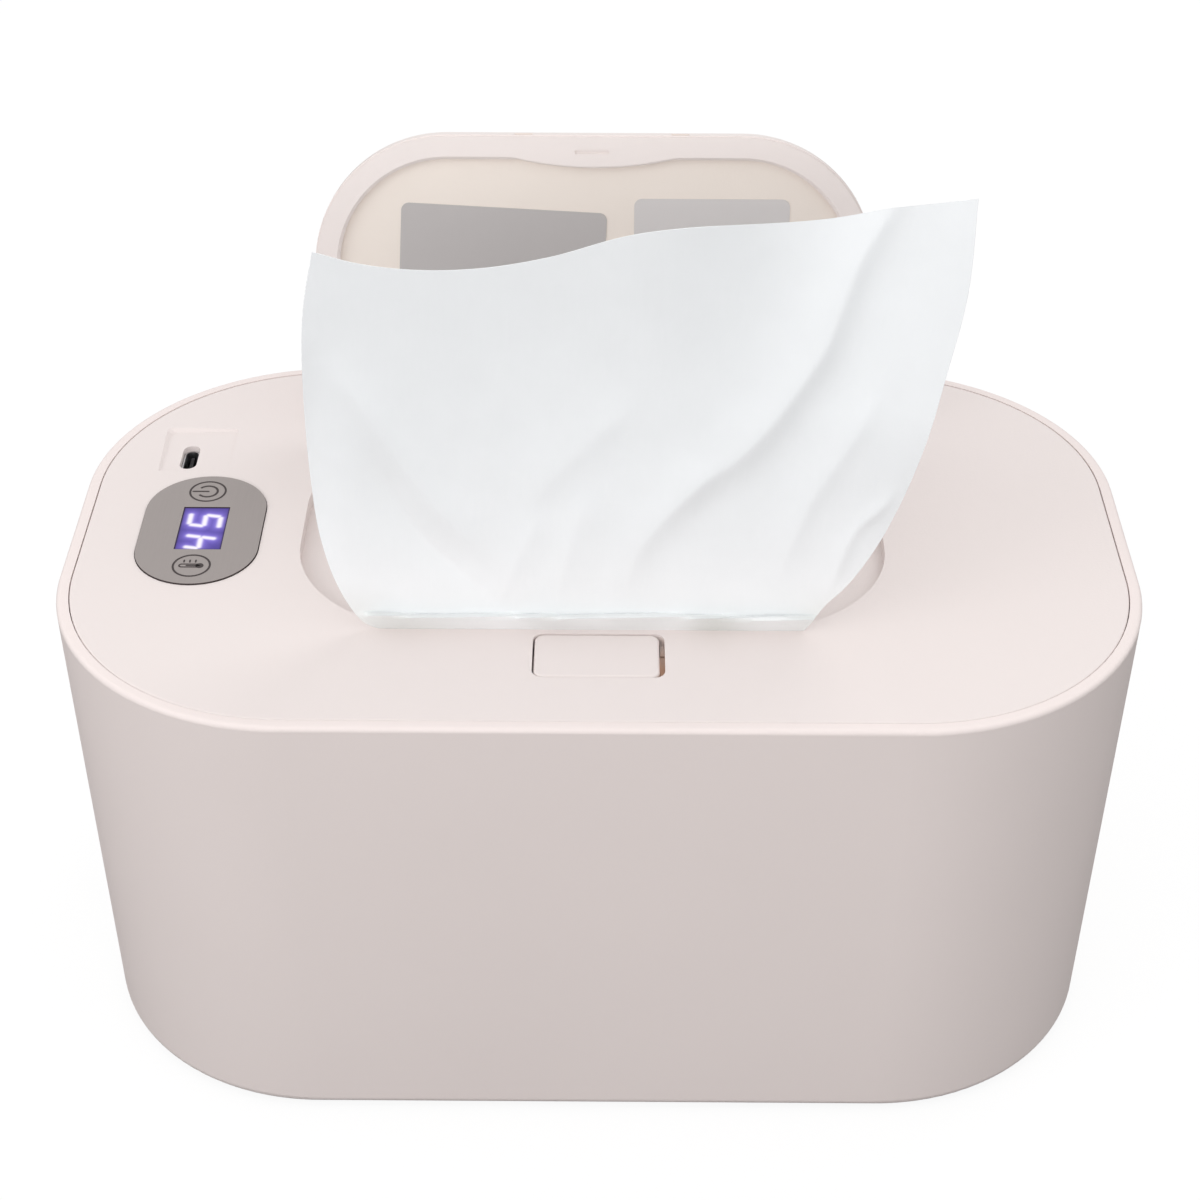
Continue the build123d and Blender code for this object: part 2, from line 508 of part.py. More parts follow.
def make_usb_tongue():
    low = BOARD_Z1 + PORT_BACK_T
    inset = 2 * (PORT_WALL + TONGUE_GAP)
    foot = round_ended(PORT_X, PORT_Y, PORT_OUT_W - inset, PORT_OUT_L - inset, low, low + PORT_BACK_T)
    return foot + block(PORT_X - TONGUE_HALF_W, PORT_X + TONGUE_HALF_W, PORT_Y - TONGUE_HALF_L,
                        PORT_Y + TONGUE_HALF_L, low + PORT_BACK_T, PORT_MOUTH - TONGUE_SHORT)


def make_buzzer():
    low = BOARD_Z0 - BUZZER_H
    return (post(BUZZER_X, BUZZER_Y, BUZZER_R, low, BOARD_Z0)
            - post(BUZZER_X, BUZZER_Y, BUZZER_HOLE_R, low, low + BUZZER_HOLE_H))


def make_connector():
    connector = under_board(PLUG)
    for y in PLUG_ROWS:
        connector -= block(PLUG["x1"] - PLUG_SLOT_DEPTH, PLUG["x1"], y - PLUG_SLOT_HALF, y + PLUG_SLOT_HALF,
                           BOARD_Z0 - PLUG_SLOT_LOW, BOARD_Z0 - PLUG_SLOT_HIGH)
    return connector


def make_leads(rows):
    """Wires from the connector, over the sensor window and down to the film."""
    z_plug = BOARD_Z0 - LEAD_DROP
    x_plug = PLUG["x1"] - PLUG_SLOT_DEPTH + LEAD_START
    x_film = SENSOR_X - LEAD_END
    leads = []
    for y_board, y_film in rows:
        points = [
            (x_plug, y_board, z_plug),
            (x_plug + LEAD_RUN_OUT, y_board, z_plug),
            (x_film - LEAD_RUN_DOWN, y_film, z_plug - LEAD_SAG),
            (x_film, y_film, z_plug - 2 * LEAD_SAG),
            (x_film, y_film, PAD_LOW),
        ]
        path = FilletPolyline(*points, radius=LEAD_BEND)
        start = Plane(origin=path @ 0, z_dir=path % 0)
        leads.append(sweep(start * Circle(LEAD_R), path=path))
    return Compound(children=leads)


# ---------------------------------------------------------------- button and latch
def make_housing():
    low = HOUSING_FLOOR - HOUSING_T
    box = block(-HOUSING_X, HOUSING_X, HOUSING_Y0, HOUSING_Y1, low, HOUSING_FLOOR)
    box += block(-HOUSING_X, HOUSING_X, HOUSING_Y0, HOUSING_Y0 + HOUSING_T, HOUSING_FLOOR, HOUSING_FRONT_TOP)
    box += mirrored(HOUSING_X - HOUSING_WALL, HOUSING_X, HOUSING_Y0, HOUSING_Y1,
                    HOUSING_FLOOR, HOUSING_SIDE_TOP)
    box += mirrored(HOUSING_X - HOUSING_WALL / 2, LUG_X, LUG_Y0, LUG_Y1,
                    HOUSING_FLOOR, HOUSING_FLOOR + HOUSING_T)
    for x, y in latch_screw_places():
        box -= post(x, y, LUG_HOLE, HOUSING_FLOOR, HOUSING_FLOOR + HOUSING_T)
    return box


def profile_along_x(points, half):
    """A prism from a profile of Y and Z points, centred across X."""
    with BuildSketch(Plane.YZ.offset(-half)) as profile:
        with BuildLine():
            Polyline(*points, close=True)
        make_face()
    return extrude(profile.sketch, amount=2 * half)


def wedge_face(offset, z):
    """The wedge's working face at height z, shifted towards the front by offset."""
    return (WEDGE_Y - offset - WEDGE_RATIO * (z - WEDGE_Z), z)


def make_button():
    mid = ((BUTTON_X0 + BUTTON_X1) / 2, (BUTTON_Y0 + BUTTON_Y1) / 2)
    button = slab(*mid, BUTTON_X1 - BUTTON_X0, BUTTON_Y1 - BUTTON_Y0, BUTTON_R, BUTTON_LOW, BODY_H)
    button = fillet(button.edges().group_by(Axis.Z)[-1], BUTTON_EDGE_R)
    for side, edge in ((-1, BUTTON_X0), (1, BUTTON_X1)):
        x_out = edge - side * LEG_IN
        x0, x1 = sorted([x_out, x_out - side * LEG_T])
        button += block(x0, x1, LEG_Y0, LEG_Y1, LEG_LOW, BUTTON_LOW)
        with BuildSketch(Plane.XZ.offset(-LEG_Y0)) as barb:
            with BuildLine():
                Polyline((x_out, LEG_LOW), (side * BARB_X, LEG_LOW + BARB_RISE), (side * BARB_X, BARB_TOP),
                         (x_out, BARB_TOP), close=True)
            make_face()
        button += extrude(barb.sketch, amount=LEG_Y0 - LEG_Y1)
    (y_low, _), (y_high, _) = wedge_face(0, WEDGE_Z), wedge_face(0, WEDGE_TOP)
    return button + profile_along_x([(WEDGE_BACK, WEDGE_Z), (y_low, WEDGE_Z), (y_high, WEDGE_TOP),
                                     (y_high, BUTTON_LOW), (WEDGE_BACK, BUTTON_LOW)], WEDGE_HALF)


def make_yoke():
    yoke = block(-NOSE_X1, NOSE_X1, YOKE_Y0, YOKE_Y1, YOKE_Z0, YOKE_Z1)
    yoke -= profile_along_x([(YOKE_HOLE_BACK, YOKE_Z0), wedge_face(WEDGE_GAP, YOKE_Z0),
                             wedge_face(WEDGE_GAP, YOKE_Z1), (YOKE_HOLE_BACK, YOKE_Z1)], YOKE_HOLE_HALF)
    yoke += mirrored(NOSE_X0, NOSE_X1, YOKE_Y1 - NOSE_STEM, YOKE_Y1, YOKE_Z0, NOSE_Z1)
    return yoke + mirrored(NOSE_X0, NOSE_X1, YOKE_Y1 - NOSE_STEM / 4, NOSE_TIP, NOSE_Z0, NOSE_Z1)


# ---------------------------------------------------------------- lid
def make_lid_shell():
    lid = lid_outline(0, SHELL_BOTTOM, LID_TOP)
    lid = fillet(lid.edges().group_by(Axis.Z)[-1], LID_TOP_EDGE_R)
    lid -= lid_outline(LID_RIM, LID_BOTTOM, DISH_FLOOR)
    # grooves for the two latch noses in the front edge
    lid -= mirrored(NOSE_X0 - GROOVE_GAP, NOSE_X1 + GROOVE_GAP, LID_FRONT - EPS, LID_FRONT + GROOVE_DEPTH,
                    GROOVE_Z0, GROOVE_Z1)
    # notches for the deck posts and the hinge spring
    notch_y = HINGE_Y - NOTCH_FRONT
    for x0, x1 in ((-POST_X1 - HINGE_GAP, -POST_X0 + HINGE_GAP), (POST_X0 - HINGE_GAP, POST_X1 + HINGE_GAP),
                   (-COIL_X, COIL_X)):
        lid -= block(x0, x1, notch_y, LID_BACK + EPS, LID_BOTTOM - EPS, LID_TOP + EPS)
    # hinge barrels
    for x0, x1 in ((COIL_X + HINGE_GAP, POST_X0 - HINGE_GAP), (POST_X1 + HINGE_GAP, BARREL_END)):
        lid += mirrored(x0, x1, notch_y, HINGE_Y, HINGE_Z, LID_TOP - HINGE_GAP)
        for sx in (-1, 1):
            lid += along_x(*sorted([sx * x0, sx * x1]), BARREL_R)
    return lid - along_x(-TROUGH_X, TROUGH_X, PIN_BORE)


def make_liner():
    """Inner frame of the lid: a flange under the shell's rim, a sloping inner edge, a swell at the front."""
    liner = lid_outline(LINER_OUT, LID_BOTTOM, SHELL_BOTTOM - LINER_GAP)
    liner += lid_outline(LID_RIM + LINER_GAP, LID_BOTTOM, DISH_FLOOR)
    slope_top = LID_BOTTOM + LINER_SLOPE
    wide, narrow = lid_section(LINER_IN - LINER_SLOPE, LID_BOTTOM), lid_section(LINER_IN, slope_top)
    liner -= loft([wide, narrow], ruled=True)
    liner -= lid_outline(LINER_IN, slope_top, DISH_FLOOR)
    liner += make_swell()
    mark_y = LID_FRONT + MARK_IN
    liner -= block(MARK_X0, MARK_X1, mark_y, mark_y + MARK_W, LID_BOTTOM, LID_BOTTOM + MARK_DEPTH)
    # the liner stops short of the hinge
    reach = LID_W
    stop = HINGE_Y - NOTCH_FRONT - LINER_GAP
    return liner - block(-reach, reach, stop, LID_BACK + EPS, LID_BOTTOM - EPS, LID_TOP)


def make_swell():
    """The bowed ledge in the middle of the liner's front."""
    edge = LID_FRONT + LINER_IN - LINER_SLOPE
    root = edge - SWELL_ROOT
    left, right = LID_X - SWELL_X, LID_X + SWELL_X
    with BuildSketch(Plane.XY.offset(LID_BOTTOM)) as outline:
        with BuildLine():
            ThreePointArc((left, edge), (LID_X, edge + LINER_SLOPE + SWELL), (right, edge))
            Polyline((right, edge), (right, root), (left, root), (left, edge))
        make_face()
    swell = extrude(outline.sketch, amount=DISH_FLOOR - LID_BOTTOM)
    bow = swell.edges().group_by(Axis.Z)[0].filter_by(GeomType.CIRCLE)
    return fillet(bow, SWELL_EDGE_R)


def make_label(x, y, w, turn):
    outline = RectangleRounded(w, LABEL_D, LABEL_R)
    return Pos(x, y, DISH_FLOOR - LABEL_T) * Rot(0, 0, turn) * extrude(outline, amount=LABEL_T)


def make_hinge_spring():
    """Torsion spring round the pin: one leg against the trough's front wall, one up behind the lid."""
    turns = SPRING_TURNS + (SPRING_END - SPRING_START) / 360
    axis = Plane(origin=(-SPRING_HALF, HINGE_Y, HINGE_Z), x_dir=(0, 1, 0), z_dir=(1, 0, 0))
    path = Helix(pitch=2 * SPRING_HALF / turns, height=2 * SPRING_HALF, radius=SPRING_R)
    start = Plane(origin=path @ 0, z_dir=path % 0)
    turn = sweep(start * Circle(SPRING_WIRE), path=path, is_frenet=True)
    spring = axis.location * Rot(0, 0, SPRING_START) * turn
    end_y = HINGE_Y + SPRING_R * cos(radians(SPRING_END))
    end_z = HINGE_Z + SPRING_R * sin(radians(SPRING_END))
    leg_y = HINGE_Y - SPRING_FRONT_LEG / 2 + SPRING_LEG_SHIFT
    front_leg = Rot(90, 0, 0) * Cylinder(SPRING_WIRE, SPRING_FRONT_LEG)
    spring += Pos(-SPRING_HALF, leg_y, HINGE_Z - SPRING_R) * front_leg
    return spring + post(SPRING_HALF, end_y, SPRING_WIRE, end_z - SPRING_WIRE, end_z + SPRING_BACK_LEG)


# ---------------------------------------------------------------- wipe
def make_wipe():
    """Plain stand-in for the cloth: a leaf that flares upwards and a neck down into the opening."""
    with BuildSketch(Plane.XZ.offset(-WIPE_T / 2)) as leaf:
        with BuildLine():
            Spline(*WIPE_LEFT)
            Spline(*WIPE_TOP_EDGE)
            Spline(*WIPE_RIGHT)
            Line(WIPE_RIGHT[-1], WIPE_LEFT[0])
        make_face()
    wipe = Pos(0, WIPE_Y, WIPE_Z) * Rot(-WIPE_LEAN, 0, 0) * extrude(leaf.sketch, amount=WIPE_T)
    y_front = WIPE_Y - WIPE_T / 2 + NECK_SET_BACK
    y_neck = THROAT_Y - LIP_D / 2 + NECK_INSIDE
    z_over = RECESS_Z + NECK_OVER
    wipe += block(-NECK_X, NECK_X, y_front, WIPE_Y + WIPE_T / 2, z_over, z_over + 2 * WIPE_T)
    wipe += block(-NECK_X, NECK_X, y_front, y_neck + WIPE_T, z_over, z_over + WIPE_T)
    return wipe + block(-NECK_X, NECK_X, y_neck, y_neck + WIPE_T, NECK_LOW, z_over + WIPE_T)


# ---------------------------------------------------------------- all the pieces
def build_tub():
    save("tub_shell", make_tub(), "shell")
    save("rubber_feet", make_feet(), "rubber")


def build_cover():
    save("deck", make_deck(), "deck")
    save("cover_seal", make_cover_seal(), "silicone")
    save("under_tray", make_tray(), "shell")
    save("dispensing_ring", make_ring(), "silicone")
    save("cover_screws", screws(COVER_SCREWS, TRAY_BOTTOM, COVER_SCREW), "metal")


def build_heater():
    pad = heat_layer(PAD_LOW, TRAY_BOTTOM, PAD_INSET) - sensor_window(PAD_LOW, TRAY_BOTTOM)
    save("insulation_pad", pad, "foam")
    save("heater_film", heat_layer(FILM_LOW, PAD_LOW, FILM_INSET), "film")
    save("heat_plate", heat_layer(HEAT_LOW, FILM_LOW, 0), "metal")
    save("plate_screws", screws(PLATE_SCREWS, HEAT_LOW, PLATE_SCREW), "metal")
    x, y = SENSOR_X + THERMISTOR_DX, SENSOR_Y + THERMISTOR_DY
    thermistor = block(x, x + THERMISTOR_W, y, y + THERMISTOR_L, PAD_LOW, PAD_LOW + THERMISTOR_H)
    save("thermistor", thermistor, "black")
    fuse = Rot(90, 0, 0) * Cylinder(FUSE_R, FUSE_L)
    save("thermal_fuse", Pos(SENSOR_X + FUSE_DX, SENSOR_Y + FUSE_DY, PAD_LOW + FUSE_R) * fuse, "black")


def build_electronics():
    save("control_board", make_board(), "board")
    save("board_screws", screws(BOARD_SCREWS, BOARD_Z0, SMALL_SCREW, BOARD_SCREW_L), "metal")
    save("display_module", window_block(MODULE_SIDE, BOARD_Z1, MODULE_TOP), "display")
    save("display_lens", window_block(-LENS_GAP, LENS_Z0, LENS_Z1), "lens")
    save("touch_panel", make_panel(), "panel")
    save("touch_springs", coils(KEYS, BOARD_Z1, PLATE_LOW - KEY_SPRING_GAP, KEY_SPRING), "metal")
    save("usb_shell", make_usb_shell(), "metal")
    save("usb_tongue", make_usb_tongue(), "black")
    save("controller_chip", under_board(CHIP), "black")
    save("power_transistor", under_board(TRANSISTOR), "black")
    save("buzzer", make_buzzer(), "black")
    save("wire_connector", make_connector(), "cream")
    save("heater_leads", make_leads([(y, y) for y in PLUG_ROWS[:2]]), "red")
    save("sensor_leads", make_leads([(y, y + SENSOR_LEAD_SHIFT) for y in PLUG_ROWS[2:]]), "white")


def build_latch():
    save("latch_housing", make_housing(), "shell")
    save("latch_screws", screws(latch_screw_places(), HOUSING_FLOOR, SMALL_SCREW, LATCH_SCREW_L), "metal")
    springs = [(sx * BUTTON_SPRING_X, BUTTON_SPRING_Y) for sx in (-1, 1)]
    save("button_springs", coils(springs, HOUSING_FLOOR, BUTTON_LOW, BUTTON_SPRING), "metal")
    latch_spring = Pos(0, LATCH_SPRING_Y, LATCH_SPRING_Z) * Rot(90, 0, 0) * coil(**LATCH_SPRING)
    save("latch_spring", latch_spring, "metal")
    save("latch_button", make_button(), "deck")
    save("latch_yoke", make_yoke(), "shell")


def build_lid():
    save("hinge_pin", along_x(-PIN_L / 2, PIN_L / 2, PIN_R), "metal")
    save("hinge_spring", make_hinge_spring(), "metal")
    save("lid_shell", opened(make_lid_shell()), "lid")
    save("lid_liner", opened(make_liner()), "lid")
    save("label_left", opened(make_label(**LABEL_LEFT)), "label")
    save("label_right", opened(make_label(**LABEL_RIGHT)), "label")
    save("wipe_sheet", make_wipe(), "white")


COLOURS = {
    "shell": (0.93, 0.90, 0.89), "deck": (0.94, 0.91, 0.90), "lid": (0.95, 0.92, 0.90),
    "rubber": (0.3, 0.3, 0.3), "silicone": (0.9, 0.88, 0.86), "foam": (0.75, 0.75, 0.78),
    "film": (0.8, 0.5, 0.15), "metal": (0.7, 0.7, 0.72), "black": (0.08, 0.08, 0.08),
    "board": (0.05, 0.35, 0.15), "display": (0.2, 0.15, 0.3), "lens": (0.4, 0.3, 0.7),
    "panel": (0.62, 0.6, 0.58), "cream": (0.95, 0.93, 0.85), "red": (0.8, 0.1, 0.1),
    "white": (0.97, 0.97, 0.97), "label": (0.7, 0.69, 0.68),
}

for build in (build_tub, build_cover, build_heater, build_electronics, build_latch, build_lid):
    build()
os.makedirs("parts", exist_ok=True)
for name, (solid, colour) in PARTS.items():
    solid.label = name
    solid.color = Color(*COLOURS[colour])
    export_step(solid, f"parts/{name}.step")
    print(name, len(solid.solids()), round(solid.volume, 1))
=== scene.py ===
import math

import bmesh
import bpy
import numpy as np
from bpy.props import FloatProperty, FloatVectorProperty, IntProperty, PointerProperty
from bpy.types import Operator, Panel, PropertyGroup
from mathutils import Matrix, Vector


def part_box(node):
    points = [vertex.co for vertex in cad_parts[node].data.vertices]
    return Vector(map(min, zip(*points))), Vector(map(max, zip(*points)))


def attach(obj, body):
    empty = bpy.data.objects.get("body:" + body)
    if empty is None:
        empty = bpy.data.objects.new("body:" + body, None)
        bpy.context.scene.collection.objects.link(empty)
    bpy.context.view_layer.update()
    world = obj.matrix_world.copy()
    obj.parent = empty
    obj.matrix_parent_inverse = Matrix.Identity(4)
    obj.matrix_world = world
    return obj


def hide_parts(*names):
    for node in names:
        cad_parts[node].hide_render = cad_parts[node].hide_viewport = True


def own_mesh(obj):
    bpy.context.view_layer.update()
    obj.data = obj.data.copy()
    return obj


bl_info = {
    "name": "Baby wipe warmer",
    "version": (1, 0, 0),
    "blender": (4, 5, 0),
    "location": "3D view > Sidebar > Warmer",
    "description": "Finishes, display, key marks and the standing wipe of a baby wipe warmer",
    "category": "Object",
}

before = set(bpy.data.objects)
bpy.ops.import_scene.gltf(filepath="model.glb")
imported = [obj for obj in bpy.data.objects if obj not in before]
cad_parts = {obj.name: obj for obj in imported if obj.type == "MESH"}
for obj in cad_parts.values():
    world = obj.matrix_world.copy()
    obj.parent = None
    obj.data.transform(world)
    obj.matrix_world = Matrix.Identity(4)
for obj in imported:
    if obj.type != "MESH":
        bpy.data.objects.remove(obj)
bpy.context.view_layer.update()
MM = 0.001


# ---------------------------------------- settings
def length(name, text, value, **limits):
    """A length property with this name, description and default."""
    return FloatProperty(name=name, description=text, default=value, unit="LENGTH", **limits)


class WarmerSizes(PropertyGroup):
    """Sizes that shape the made pieces."""

    cloth_thickness: length(
        "Cloth thickness", "Thickness of the nonwoven wipe", 0.00025, min=0.0001, max=0.002)
    fold_depth: FloatProperty(
        name="Fold depth", description="How far the wipe's creases stand out of its sheet, as a share",
        default=1.0, min=0.0, max=3.0, subtype="FACTOR")
    cloth_columns: IntProperty(
        name="Cloth columns", description="Faces across the wipe", default=190, min=20, max=400)
    cloth_rows: IntProperty(
        name="Cloth rows", description="Faces up the wipe's leaf", default=150, min=20, max=400)
    digit_height: length("Digit height", "Height of a display digit", 0.0061)
    stroke: length("Segment width", "Width of a display segment", 0.00095)
    ring_diameter: length("Key ring", "Outer diameter of the printed ring round a touch key", 0.0076)
    line: length("Printed line", "Width of the printed lines on the panel", 0.0004)
    grain: length("Moulded grain", "Spacing of the fine grain on the plastic", 0.0005)


def colour(name, text, value):
    """A colour property with this name, description and default."""
    return FloatVectorProperty(
        name=name, description=text, subtype="COLOR", size=3, min=0, max=1, default=value)


class WarmerColours(PropertyGroup):
    """Colours of the finishes, in linear values."""

    tub: colour("Tub", "Satin plastic of the tub", (0.865, 0.775, 0.752))
    deck: colour("Deck", "Satin plastic of the deck and button", (0.82, 0.745, 0.725))
    # painted warm shade in the gap beside the button, darker and browner than the deck
    gap: colour("Button gap", "Warm light in the gap beside the button", (0.85, 0.56, 0.40))
    rim: colour("Lid", "Satin plastic of the lid", (0.90, 0.825, 0.80))
    dish: colour("Lid inside", "Warmer plastic inside the lid", (0.91, 0.828, 0.76))
    panel: colour("Touch panel", "Brushed grey film", (0.325, 0.288, 0.276))
    print_: colour("Print", "Dark print on the panel", (0.03, 0.02, 0.02))
    field: colour("Display field", "Lit violet field", (0.075, 0.05, 0.33))
    halo: colour("Display halo", "Glow round the segments", (0.36, 0.27, 1.0))
    border: colour("Display border", "Dark edge of the lit field", (0.03, 0.018, 0.06))
    segment: colour("Display segment", "Lit segments", (1.0, 0.95, 1.0))
    # both labels are one stock in two greys: the left one's darker grey is painted shade, the right one's
    # paler grey painted light
    label_left: colour("Left label", "Bare label stock", (0.53, 0.503, 0.498))
    label_right: colour("Right label", "Paler bare label stock", (0.69, 0.661, 0.655))
    # greyer nonwoven along the foot: dampness, with painted shade under the fold, in its corners and on
    # the tail
    damp_and_shade: colour("Damp wipe", "Nonwoven where it is damp, at its foot", (0.70, 0.72, 0.70))
    cloth: colour("Wipe", "White nonwoven", (0.90, 0.915, 0.93))
    rubber: colour("Feet", "Rubber feet", (0.10, 0.10, 0.10))
    silicone: colour("Silicone", "Seal and dispensing ring", (0.72, 0.68, 0.66))
    metal: colour("Metal", "Steel and aluminium", (0.62, 0.62, 0.63))
    board: colour("Board", "Green solder mask", (0.02, 0.16, 0.06))


def sizes():
    return bpy.context.scene.warmer_sizes


def colours():
    return bpy.context.scene.warmer_colours


# ---------------------------------------- shader helpers
def opaque(shade):
    """The colour with an alpha of 1."""
    return (*tuple(shade)[:3], 1)


class Graph:
    """Places nodes in a tree and joins them."""

    def __init__(self, tree):
        self.tree = tree

    def node(self, kind, **settings):
        made = self.tree.nodes.new(kind)
        for key, value in settings.items():
            setattr(made, key, value)
        return made

    def link(self, source, target):
        self.tree.links.new(source, target)

    def put(self, value, socket):
        """Links another node's output to the socket, or sets it to a number or colour."""
        if isinstance(value, bpy.types.NodeSocket):
            self.link(value, socket)
        elif hasattr(value, "__len__"):
            socket.default_value = opaque(value)
        else:
            socket.default_value = value

    def math(self, operation, *values):
        made = self.node("ShaderNodeMath", operation=operation)
        for value, socket in zip(values, made.inputs):
            self.put(value, socket)
        return made.outputs[0]

    def noise(self, vector, scale, detail=2.0, rough=0.5):
        made = self.node("ShaderNodeTexNoise")
        self.link(vector, made.inputs["Vector"])
        self.put(scale, made.inputs["Scale"])
        self.put(detail, made.inputs["Detail"])
        self.put(rough, made.inputs["Roughness"])
        return made.outputs["Fac"]

    def ramp(self, value, low, high):
        """Goes from one colour to another; low and high are each a place and its colour."""
        made = self.node("ShaderNodeValToRGB")
        for element, (place, shade) in zip(made.color_ramp.elements, (low, high)):
            element.position = place
            element.color = opaque(shade)
        self.link(value, made.inputs["Fac"])
        return made.outputs["Color"]

    def mix(self, amount, a, b, blend="MIX"):
        made = self.node("ShaderNodeMix", data_type="RGBA", blend_type=blend)
        for value, place in ((amount, 0), (a, 6), (b, 7)):
            self.put(value, made.inputs[place])
        return made.outputs[2]

    def darken(self, shade, factor):
        """The colour times a factor that is near 1."""
        grey = self.node("ShaderNodeCombineColor")
        for socket in grey.inputs[:3]:
            self.link(factor, socket)
        return self.mix(1.0, shade, grey.outputs[0], "MULTIPLY")

    def choose(self, amount, a, b):
        """The first shader where the amount is 0, the second where it is 1."""
        made = self.node("ShaderNodeMixShader")
        for output, socket in zip((amount, a, b), made.inputs):
            self.link(output, socket)
        return made.outputs[0]

    def place(self):
        """Place on the piece, in metres."""
        return self.node("ShaderNodeTexCoord").outputs["Object"]


def group(name, inputs, outputs):
    """A shader node group; a socket called Colour holds a colour, every other one a number."""
    tree = bpy.data.node_groups.new(name, "ShaderNodeTree")
    for way, labels in (("INPUT", inputs), ("OUTPUT", outputs)):
        for label in labels:
            kind = "NodeSocketColor" if label == "Colour" else "NodeSocketFloat"
            tree.interface.new_socket(label, in_out=way, socket_type=kind)
    graph = Graph(tree)
    return tree, graph, graph.node("NodeGroupInput"), graph.node("NodeGroupOutput")


# moulded plastic: how many slow changes of shade and of gloss it has in a metre, and how wide they swing
SHADE_RATE, SHADE_SWING = 14.0, 0.05
GLOSS_RATE, GLOSS_SWING = 55.0, 0.12


def moulded_grain():
    """Fine spark-eroded grain with slow shade changes, as on moulded plastic."""
    found = bpy.data.node_groups.get("moulded_grain")
    if found:
        return found
    tree, g, source, sink = group(
        "moulded_grain", ["Colour", "Spacing", "Roughness"], ["Colour", "Roughness", "Height"])
    fine = g.noise(g.place(), g.math("DIVIDE", 1.0, source.outputs["Spacing"]), 3.0)
    slow = g.noise(g.place(), SHADE_RATE)
    cloud = g.noise(g.place(), GLOSS_RATE, 3.0)
    factor = g.math("MULTIPLY_ADD", slow, SHADE_SWING, 1 - SHADE_SWING / 2)
    rough = g.math("MULTIPLY_ADD", cloud, GLOSS_SWING, source.outputs["Roughness"])
    g.link(g.darken(source.outputs["Colour"], factor), sink.inputs["Colour"])
    g.link(g.math("SUBTRACT", rough, GLOSS_SWING / 2), sink.inputs["Roughness"])
    g.link(fine, sink.inputs["Height"])
    return tree


SCRATCH_RATE = 4200.0  # scratches in a metre
SCRATCH_SCALE = (1.0, 0.03, 1.0)  # draws them out along Y


def brushed_lines():
    """Long fine scratches along the piece's Y axis, as on brushed film or rolled metal."""
    found = bpy.data.node_groups.get("brushed_lines")
    if found:
        return found
    tree, g, source, sink = group(
        "brushed_lines", ["Colour", "Strength", "Roughness"], ["Colour", "Roughness", "Height"])
    stretch = g.node("ShaderNodeMapping")
    stretch.inputs["Scale"].default_value = SCRATCH_SCALE
    g.link(g.place(), stretch.inputs["Vector"])
    streak = g.noise(stretch.outputs[0], SCRATCH_RATE, rough=0.6)
    centred = g.math("SUBTRACT", streak, 0.5)
    swing = g.math("MULTIPLY", centred, source.outputs["Strength"])
    factor = g.math("ADD", swing, 1.0)
    g.link(g.darken(source.outputs["Colour"], factor), sink.inputs["Colour"])
    g.link(g.math("ADD", source.outputs["Roughness"], swing), sink.inputs["Roughness"])
    g.link(streak, sink.inputs["Height"])
    return tree


FIBRE_RATE = 700.0  # fibres in a metre
FIBRE_RELIEF = 0.00012  # how high they stand, in metres
FIBRE_TURNS = (0.5, -0.7, 1.4)  # the three ways in which the fibres lie, in radians
FIBRE_SCALE = (1.0, 1.0, 0.16)  # draws them out along their length
CLUMP_RATE = 130.0  # clumps in a metre
CLUMP_SWING, CLUMP_DARKEST, CLUMP_HEIGHT = 0.05, 0.97, 0.6
DRY_ROUGH, DAMP_ROUGH = 0.9, 0.5


def fibre_web():
    """Short fibres that lie matted in three directions, in slow clumps, as on a spunlace wipe."""
    found = bpy.data.node_groups.get("fibre_web")
    if found:
        return found
    tree, g, source, sink = group("fibre_web", ["Colour", "Fibre"], ["Colour", "Height"])
    mat = None
    for turn in FIBRE_TURNS:
        lay = g.node("ShaderNodeMapping")
        lay.inputs["Rotation"].default_value = (0.0, turn, 0.0)
        lay.inputs["Scale"].default_value = FIBRE_SCALE
        g.link(g.place(), lay.inputs["Vector"])
        web = g.noise(lay.outputs[0], source.outputs["Fibre"], 3.0)
        mat = web if mat is None else g.math("MAXIMUM", mat, web)
    clump = g.noise(g.place(), CLUMP_RATE, 3.0)
    factor = g.math("MULTIPLY_ADD", clump, CLUMP_SWING, CLUMP_DARKEST)
    g.link(g.darken(source.outputs["Colour"], factor), sink.inputs["Colour"])
    g.link(g.math("ADD", mat, g.math("MULTIPLY", clump, CLUMP_HEIGHT)), sink.inputs["Height"])
    return tree


def place_group(g, tree, **values):
    """Puts a node group into a graph and sets the named inputs."""
    made = g.node("ShaderNodeGroup")
    made.node_tree = tree
    for key, value in values.items():
        g.put(value, made.inputs[key])
    return made


def material(name):
    """An empty material with one Principled shader; returns the material, its graph and the shader."""
    made = bpy.data.materials.new(name)
    made.use_nodes = True
    g = Graph(made.node_tree)
    shader = made.node_tree.nodes["Principled BSDF"]
    return made, g, shader


def bump(g, shader, height, distance, strength=1.0):
    """Gives a shader relief from a height between 0 and 1."""
    made = g.node("ShaderNodeBump")
    made.inputs["Distance"].default_value = distance
    made.inputs["Strength"].default_value = strength
    g.link(height, made.inputs["Height"])
    g.link(made.outputs[0], shader.inputs["Normal"])


def grained(name, tree, relief, **values):
    """A finish whose colour, roughness and relief come from a node group; returns it and its shader."""
    made, g, shader = material(name)
    effect = place_group(g, tree, **values)
    g.link(effect.outputs["Colour"], shader.inputs["Base Color"])
    g.link(effect.outputs["Roughness"], shader.inputs["Roughness"])
    bump(g, shader, effect.outputs["Height"], relief)
    return made, shader


def plastic(name, shade, rough=0.42, spacing=None, relief=0.00002, coat=0.0):
    """Moulded plastic, rubber or film with a fine grain."""
    made, shader = grained(
        name, moulded_grain(), relief, Colour=shade, Roughness=rough, Spacing=spacing or sizes().grain)
    shader.inputs["Specular IOR Level"].default_value = 0.3
    shader.inputs["Coat Weight"].default_value = coat
    return made


